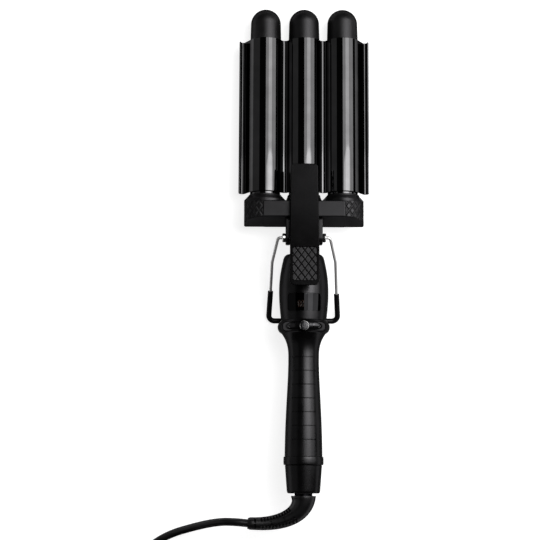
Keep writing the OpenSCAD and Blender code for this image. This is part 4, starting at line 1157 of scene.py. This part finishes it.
class WAVER_OT_stand(bpy.types.Operator):
    """Makes the bent wire stand and its rubber sleeve"""
    bl_idname = "waver.stand"
    bl_label = "Stand"

    def execute(self, context):
        # one leg in the wire's own plane, from the hinge down to the middle of the foot
        inner, outer = Vector((EAR_OUT - 0.7, 0, 0)), Vector((STAND_SHOULDER - 0.7, 0, 0))
        knee = Vector((STAND_HALF - 2.5, -21, 0))
        ankle = Vector((STAND_HALF - 1.35, -46, 0))
        corner = Vector((STAND_HALF + 0.25, -STAND_LEN, 0))
        foot = Vector((0, -STAND_LEN, 0))
        low = round_corner(ankle, corner, foot, 4.6)
        leg = [inner] + round_corner(inner, outer, knee, 2.4) + [knee, ankle] + low
        hinge = Matrix.Translation(Vector((0, HINGE_S, HINGE_RISE)) * MM)
        place = hinge @ Matrix.Rotation(STAND_ANGLE, 4, "X")
        wire = put(rod_along(leg + mirrored(leg), WIRE_R, 16), place)
        done(wire, "stand_wire_bent", "stand_steel", "stand", ["stand_wire"], angle=50)
        # the sleeve reaches up a little further on the left leg than on the right one
        right_end = Vector((STAND_HALF - 1.22, -48.6, 0))
        left_end = Vector((1.34 - STAND_HALF, -46.2, 0))
        sleeve = put(rod_along([right_end] + low + mirrored(low) + [left_end], SLEEVE_R, 20), place)
        soften(sleeve, 0.45, 3, 60)
        done(sleeve, "stand_sleeve_rubber", "sleeve_rubber", "stand", ["stand_sleeve"], angle=50)
        return {"FINISHED"}


# ------------------------------------------------------------------ handle
def skin_patch(outline, inset, depth, low, high, reach, steps):
    """Part of the handle's front skin as a solid layer, over reach degrees to each side."""
    rows = [(r - inset, s) for r, s in outline if low < s < high]
    first = (at_height(outline, high) - inset, high)
    last = (at_height(outline, low) - inset, low)
    patch = turned([first] + rows + [last], sweep=2 * reach, first=90 - reach, steps=steps)
    if sum(f.normal.z for f in patch.data.polygons) < 0:
        patch.data.flip_normals()
    return shape(patch, "SOLIDIFY", thickness=depth * MM, offset=-1, use_even_offset=True)


class WAVER_OT_shells(bpy.types.Operator):
    """Makes the handle's front and rear shells with their openings and grooves"""
    bl_idname = "waver.shells"
    bl_label = "Handle shells"

    def execute(self, context):
        front = self.half_shell(1)
        cut(front, rounded_block((0, WINDOW_S), WINDOW_OPENING, 8, 30))
        cut(front, self.button_field())
        hole_r = POWER_R + 0.06
        cut(front, turned([(0, 5), (hole_r, 5), (hole_r, 30), (0, 30)], (0, BUTTON_S, 0), "Z", steps=48))
        for side in (-1, 1):
            cut(front, rounded_block((side * BUTTON_X, BUTTON_S), BUTTON_OPENING, 5, 30))
        cut(front, self.groove_tools())
        done(front, "handle_front_moulding", "handle_plastic", nodes=["handle_front_shell"], angle=28)
        rear = self.half_shell(-1)
        post_line = [(0, 0), (4.2, 0), (4.2, -7.4), (0, -7.4)]
        well_line = [(0, HANDLE_SEAT), (SCREW_WELL_R, HANDLE_SEAT), (SCREW_WELL_R, -30), (0, -30)]
        for x, s in HANDLE_SCREWS:
            cut(rear, turned(post_line, (x, s, 0), "Z", steps=28), "UNION")
            cut(rear, turned(well_line, (x, s, 0), "Z", steps=28))
        done(rear, "handle_rear_moulding", "handle_plastic", nodes=["handle_rear_shell"], angle=28)
        screws = [make_screw(x, s, HANDLE_SEAT, 7) for x, s in HANDLE_SCREWS]
        done(join(screws), "handle_screws_finished", "plain_steel", nodes=["handle_screws"])
        return {"FINISHED"}

    def half_shell(self, side):
        """The front (1) or rear (-1) half of the skin, a hair short of the seam, with its wall."""
        seam_gap = 0.35
        skin = HANDLE_SKIN + [(GRIP_R - 1, GRIP_LOW), (GRIP_R - 1, SPIGOT_LOW)]
        first = seam_gap if side > 0 else 180 + seam_gap
        shell = turned(skin, sweep=180 - 2 * seam_gap, first=first, steps=80)
        if side * sum(f.normal.z * f.area for f in shell.data.polygons) < 0:
            shell.data.flip_normals()
        return shape(shell, "SOLIDIFY", thickness=SHELL_T * MM, offset=-1, use_even_offset=True)

    def button_field(self):
        """What is cut away for the shallow oval that the buttons sit in."""
        deep, top = 0.5, RING_TOP + 2
        field = rounded_block((0, BUTTON_S), (35, 8.2, 3.6), 6, 30, n=10)
        skin = [(RING[0][0], top)] + RING_SKIN + FLARE[:4]
        floor = [(0, top)] + [(r - deep, s) for r, s in skin] + [(0, FLARE[3][1])]
        return cut(field, turned(floor, steps=96))

    def groove_tools(self):
        """What is cut away for the grip's short grooves."""
        outer, half, slope = 18, 0.5, 0.15
        tools = []
        for s in GROOVES:
            floor = at_height(FLARE + GRIP, s) - GROOVE_DEEP
            ring = turned([(outer, s + half), (floor + slope, s + 0.42), (floor, s + slope),
                           (floor, s - slope), (floor + slope, s - 0.42), (outer, s - half)],
                          sweep=120, first=30, steps=40, closed=True)
            for side in (-1, 1):
                trim(ring, (side * GROOVE_HALF, 0, 0), (side, 0, 0))
            tools.append(ring)
        return join(tools)


class WAVER_OT_display(bpy.types.Operator):
    """Makes the display window and its digits"""
    bl_idname = "waver.display"
    bl_label = "Display"

    def execute(self, context):
        window = skin_patch(BULB, 0.3, 1.4, WINDOW_S - 9, WINDOW_S + 9, 46, 48)
        w, h, corner = WINDOW_OPENING
        cut(window, rounded_block((0, WINDOW_S), (w - 0.2, h - 0.2, corner - 0.1), 5, 30), "INTERSECT")
        soften(window, 0.3, 3, 50)
        done(window, "display_window_polished", "window_plastic", nodes=["display_window"], angle=32)
        bars = self.digit(-4.1, "abcdefg") + self.digit(-1.3, "abcdef")
        done(join(bars), "display_digits", "window_plastic", look=LOOKS["digits"])
        return {"FINISHED"}

    def digit(self, x, lit):
        """The lit bars of one seven-bar digit, just under the window's skin; their glow is painted in as
        a dim orange colour, and they give no light.
        """
        w, h = 0.75, 2.5
        middle, depth, bar_r = WINDOW_S - 1.6, 0.36, 0.16
        ends = {"a": (-w, h, w, h), "b": (w, h, w, 0), "c": (w, 0, w, -h), "d": (-w, -h, w, -h),
                "e": (-w, 0, -w, -h), "f": (-w, h, -w, 0), "g": (-w, 0, w, 0)}
        bars = []
        for bar in lit:
            a, b, c, d = ends[bar]
            line = [on_skin(BULB, x + a + (c - a) * t, middle + b + (d - b) * t, depth)
                    for t in (0.14, 0.86)]
            bars.append(rod_along(line, bar_r, 8))
        return bars


class WAVER_OT_buttons(bpy.types.Operator):
    """Makes the two side buttons, the power button, its bright ring and their marks"""
    bl_idname = "waver.buttons"
    bl_label = "Buttons"

    def execute(self, context):
        for name, side in (("left", -1), ("right", 1)):
            self.side_button(name, side)
        self.power_button()
        return {"FINISHED"}

    def power_button(self):
        """The round cap, the bright ring round it, the dark bezel round that, and the mark."""
        top = RING_R
        at = (0, BUTTON_S, 0)
        r = POWER_R - POWER_RIM
        rim = r + 0.5
        side = r - 0.02
        cap = [(0, top - 3), (side, top - 3), (side, top - 0.35), (r - 0.15, top - 0.1),
               (r - 0.4, top), (0, top + 0.02)]
        done(turned(cap, at, "Z", steps=48), "power_button_cap", "button_plastic", "power_button",
             ["button_power"])
        side = r + 0.02
        ring = [(side, top - 2.3), (rim, top - 2.3), (rim, top), (rim - 0.1, top + 0.08),
                (rim - 0.25, top + 0.1), (r + 0.12, top + 0.02), (side, top - 0.2)]
        done(turned(ring, at, "Z", steps=64, closed=True), "power_ring_bright", "chrome_trim",
             "power_button", ["power_ring"], look=LOOKS["ring_chrome"])
        side = rim + 0.01
        bezel = [(side, top - 2.3), (POWER_R, top - 2.3), (POWER_R, top - 0.4),
                 (POWER_R - 0.1, top - 0.2), (POWER_R - 0.3, top - 0.1), (side, top - 0.02)]
        done(turned(bezel, at, "Z", steps=64, closed=True), "power_bezel", "chrome_trim",
             "power_button", look=LOOKS["lever_plastic"])
        level = top + 0.02
        loop = [(x, y, level) for x, y in arc(0, BUTTON_S, 1.35, 125, 415, 24)]
        stroke = [(0, BUTTON_S + 0.3, level), (0, BUTTON_S + 1.9, level)]
        mark = join([rod_along(loop, MARK_R, 8), rod_along(stroke, MARK_R, 8)])
        done(mark, "power_mark", "button_plastic", "power_button", look=LOOKS["marks"])

    def side_button(self, name, side):
        """A side button's cap, and its arrow that points outwards."""
        cap = skin_patch(RING_SKIN, 0.2, 2.0, RING_LOW + 0.3, RING_TOP - 0.5, 62, 60)
        w, h, corner = BUTTON_OPENING
        plan = rounded_block((side * BUTTON_X, BUTTON_S), (w - 0.2, h - 0.2, corner - 0.1), 3, 30)
        cut(cap, plan, "INTERSECT")
        soften(cap, 0.3, 3, 45)
        done(cap, f"{name}_button_cap", "button_plastic", f"{name}_button", [f"button_{name}"])
        reach, arm, depth = 1.0, 1.5, 0.16
        tail, head = BUTTON_X + 0.4 - reach, BUTTON_X + 0.4 + reach
        points = [on_skin(RING_SKIN, side * x, BUTTON_S + s, depth)
                  for x, s in ((tail, arm), (head, 0), (tail, -arm))]
        mark = rod_along(points, MARK_R + 0.02, 8)
        done(mark, f"{name}_arrow", "button_plastic", f"{name}_button", look=LOOKS["marks"])


class WAVER_OT_trim(bpy.types.Operator):
    """Makes the trim band, the end cap and the swivel's neck"""
    bl_idname = "waver.trim"
    bl_label = "Band and end cap"

    def execute(self, context):
        low, high = CAP_TOP, GRIP_LOW - 0.1
        bore = 14.25
        band = [(bore, low), (BAND_R - 0.7, low), (BAND_R - 0.3, low + 0.2), (BAND_R - 0.1, low + 0.6),
                (BAND_R, low + 2.5), (BAND_R - 0.02, low + 4.4), (BAND_R - 0.1, GRIP_LOW - 0.7),
                (BAND_R - 0.35, GRIP_LOW - 0.25), (BAND_R - 0.7, high), (bore, high)]
        done(turned(band, steps=96, closed=True), "handle_band_turned", "handle_plastic",
             nodes=["handle_band"])
        wide = GRIP_R - 0.3
        neck_r = 7.2
        bore = neck_r + 0.05
        cap = [(bore, CAP_TOP - 6), (13, CAP_TOP - 5), (13.6, CAP_TOP - 0.4),
               (wide - 0.4, CAP_TOP - 0.05), (wide, CAP_TOP - 0.4), (14.33, CAP_TOP - 8),
               (13.85, CAP_TOP - 15), (13.42, CAP_LOW + 2.2), (13.25, CAP_LOW + 1.2),
               (12.85, CAP_LOW + 0.45), (12.3, CAP_LOW + 0.05), (7.9, CAP_LOW),
               (7.6, CAP_LOW + 0.3), (bore, CAP_LOW + 0.9)]
        done(turned(cap, steps=96, closed=True), "end_cap_turned", "handle_plastic", nodes=["end_cap"])
        core = [(0, CAP_LOW + 4), (neck_r, CAP_LOW + 4), (neck_r, CAP_LOW - 0.6),
                (neck_r - 0.2, CAP_LOW - 0.8), (neck_r - 0.2, CAP_LOW - 1.2), (neck_r, CAP_LOW - 1.4),
                (neck_r, ELBOW_TOP), (0, ELBOW_TOP)]
        done(turned(core, steps=64), "swivel_neck", "inner_plastic", "swivel", ["swivel_core"],
             look=LOOKS["neck_steel"])
        return {"FINISHED"}


class WAVER_OT_elbow(bpy.types.Operator):
    """Makes the ribbed strain relief"""
    bl_idname = "waver.elbow"
    bl_label = "Cord elbow"

    # slots as (first angle, sweep): beside a smooth spine in front and behind, nearly right
    # round after every third row, and only in front near the cord
    rows = [(6, 74), (106, 66), (-80, 74), (-172, 66)]
    long_row = [(6, 168), (-174, 168)]
    end_row = [(35, 110)]

    def execute(self, context):
        n = 48
        low = ELBOW_TOP - ELBOW_LEAD
        path = [Vector((0, ELBOW_TOP, 0))] + [Vector((x, low + y, 0)) for x, y in bezier(ELBOW_PATH, n)]
        taper = [(1 - i / n) ** 1.35 for i in range(n + 1)]
        radii = [ELBOW_R0] + [ELBOW_R1 + (ELBOW_R0 - ELBOW_R1) * t for t in taper]
        radii[-1] -= 0.7
        tube = self.tapered_tube(path, radii)
        tools = self.slot_tools(path, radii, -2, self.end_row)
        for k in range(context.scene.waver_sizes.rib_count):
            tools += self.slot_tools(path, radii, k, self.long_row if k % 4 == 3 else self.rows)
        cut(tube, join(tools))
        done(tube, "cord_elbow_ribbed", "cord_rubber", "swivel", ["cord_elbow"], angle=35)
        return {"FINISHED"}

    def slot_tools(self, path, radii, k, spans):
        """What is cut away for row k of the slots."""
        at, along, r = self.from_end(path, radii, SLOT_FIRST + SLOT_PITCH * k)
        place = Matrix.Translation(at * MM) @ Matrix.Rotation(math.atan2(along.x, -along.y), 4, "Z")
        inner, outer = r - SLOT_DEEP, r + 2
        profile = [(inner, -SLOT_HALF), (outer, -SLOT_HALF), (outer, SLOT_HALF), (inner, SLOT_HALF)]
        return [put(turned(profile, first=first, sweep=sweep, steps=max(12, sweep // 8), closed=True),
                    place) for first, sweep in spans]

    def from_end(self, path, radii, distance):
        """The point, heading and radius of the elbow at a distance from its cord end."""
        for i in range(len(path) - 1, 0, -1):
            step = path[i] - path[i - 1]
            if distance <= step.length:
                t = distance / step.length
                return path[i] - step * t, step.normalized(), radii[i] + (radii[i - 1] - radii[i]) * t
            distance -= step.length

    def tapered_tube(self, path, radii):
        """A tube that follows the path: a ring is drawn out, turned and drawn in step by step."""
        start()
        bpy.ops.mesh.primitive_circle_add(vertices=40, radius=radii[0] * MM, fill_type="NGON",
                                          rotation=(math.pi / 2, 0, 0))
        bpy.ops.object.transform_apply(location=True, rotation=True, scale=True)
        open_up(bpy.context.object)
        bpy.ops.transform.translate(value=path[0] * MM)
        heading = 0.0
        for i in range(1, len(path)):
            step = (path[i] - path[i - 1]) * MM
            along = path[min(i + 1, len(path) - 1)] - path[i - 1] if i > 1 else path[1] - path[0]
            turn = math.atan2(-along.x, -along.y)
            scale = radii[i] / radii[i - 1]
            bpy.ops.mesh.extrude_region_move(TRANSFORM_OT_translate={"value": step})
            bpy.ops.transform.rotate(value=turn - heading, orient_axis="Z", center_override=path[i] * MM)
            bpy.ops.transform.resize(value=(scale, scale, scale), center_override=path[i] * MM)
            heading = turn
        return close_up()


class WAVER_OT_inside(bpy.types.Operator):
    """Gives every solid that still shows its finish"""
    bl_idname = "waver.inside"
    bl_label = "Inner parts"

    def execute(self, context):
        slots = {row["node"]: row["material_slot"] for row in frame["record"]["subparts"]}
        for node, solid in frame["nodes"].items():
            if not solid.hide_render:
                solid.data.materials.clear()
                solid.data.materials.append(LOOKS[slots[node]])
        return {"FINISHED"}


class WAVER_PT_panel(bpy.types.Panel):
    bl_idname = "WAVER_PT_panel"
    bl_label = "Hair waver"
    bl_space_type = "VIEW_3D"
    bl_region_type = "UI"
    bl_category = "Waver"

    def draw(self, context):
        for group in ("waver_colours", "waver_sizes", "waver_studio"):
            settings = getattr(context.scene, group)
            for key in settings.bl_rna.properties.keys():
                if key not in ("rna_type", "name"):
                    self.layout.prop(settings, key)
        for operator in OPERATORS:
            self.layout.operator(operator.bl_idname)


OPERATORS = (
    WAVER_OT_studio, WAVER_OT_cord, WAVER_OT_barrels, WAVER_OT_head, WAVER_OT_hinge, WAVER_OT_plate,
    WAVER_OT_lever, WAVER_OT_stand, WAVER_OT_shells, WAVER_OT_display, WAVER_OT_buttons, WAVER_OT_trim,
    WAVER_OT_elbow, WAVER_OT_inside,
)
GROUPS = {"waver_colours": WaverColours, "waver_sizes": WaverSizes, "waver_studio": WaverStudio}


def register():
    for group in GROUPS.values():
        bpy.utils.register_class(group)
    for name, group in GROUPS.items():
        setattr(bpy.types.Scene, name, bpy.props.PointerProperty(type=group))
    for operator in OPERATORS:
        bpy.utils.register_class(operator)
    bpy.utils.register_class(WAVER_PT_panel)


def unregister():
    bpy.utils.unregister_class(WAVER_PT_panel)
    for operator in reversed(OPERATORS):
        bpy.utils.unregister_class(operator)
    for name in GROUPS:
        delattr(bpy.types.Scene, name)
    for group in GROUPS.values():
        bpy.utils.unregister_class(group)


def main():
    register()
    make_looks()
    bpy.ops.waver.studio()
    bpy.ops.waver.cord()
    bpy.ops.waver.barrels()
    bpy.ops.waver.head()
    bpy.ops.waver.hinge()
    bpy.ops.waver.plate()
    bpy.ops.waver.lever()
    bpy.ops.waver.stand()
    bpy.ops.waver.shells()
    bpy.ops.waver.display()
    bpy.ops.waver.buttons()
    bpy.ops.waver.trim()
    bpy.ops.waver.elbow()
    bpy.ops.waver.inside()
    start()


if __name__ == "__main__":
    main()
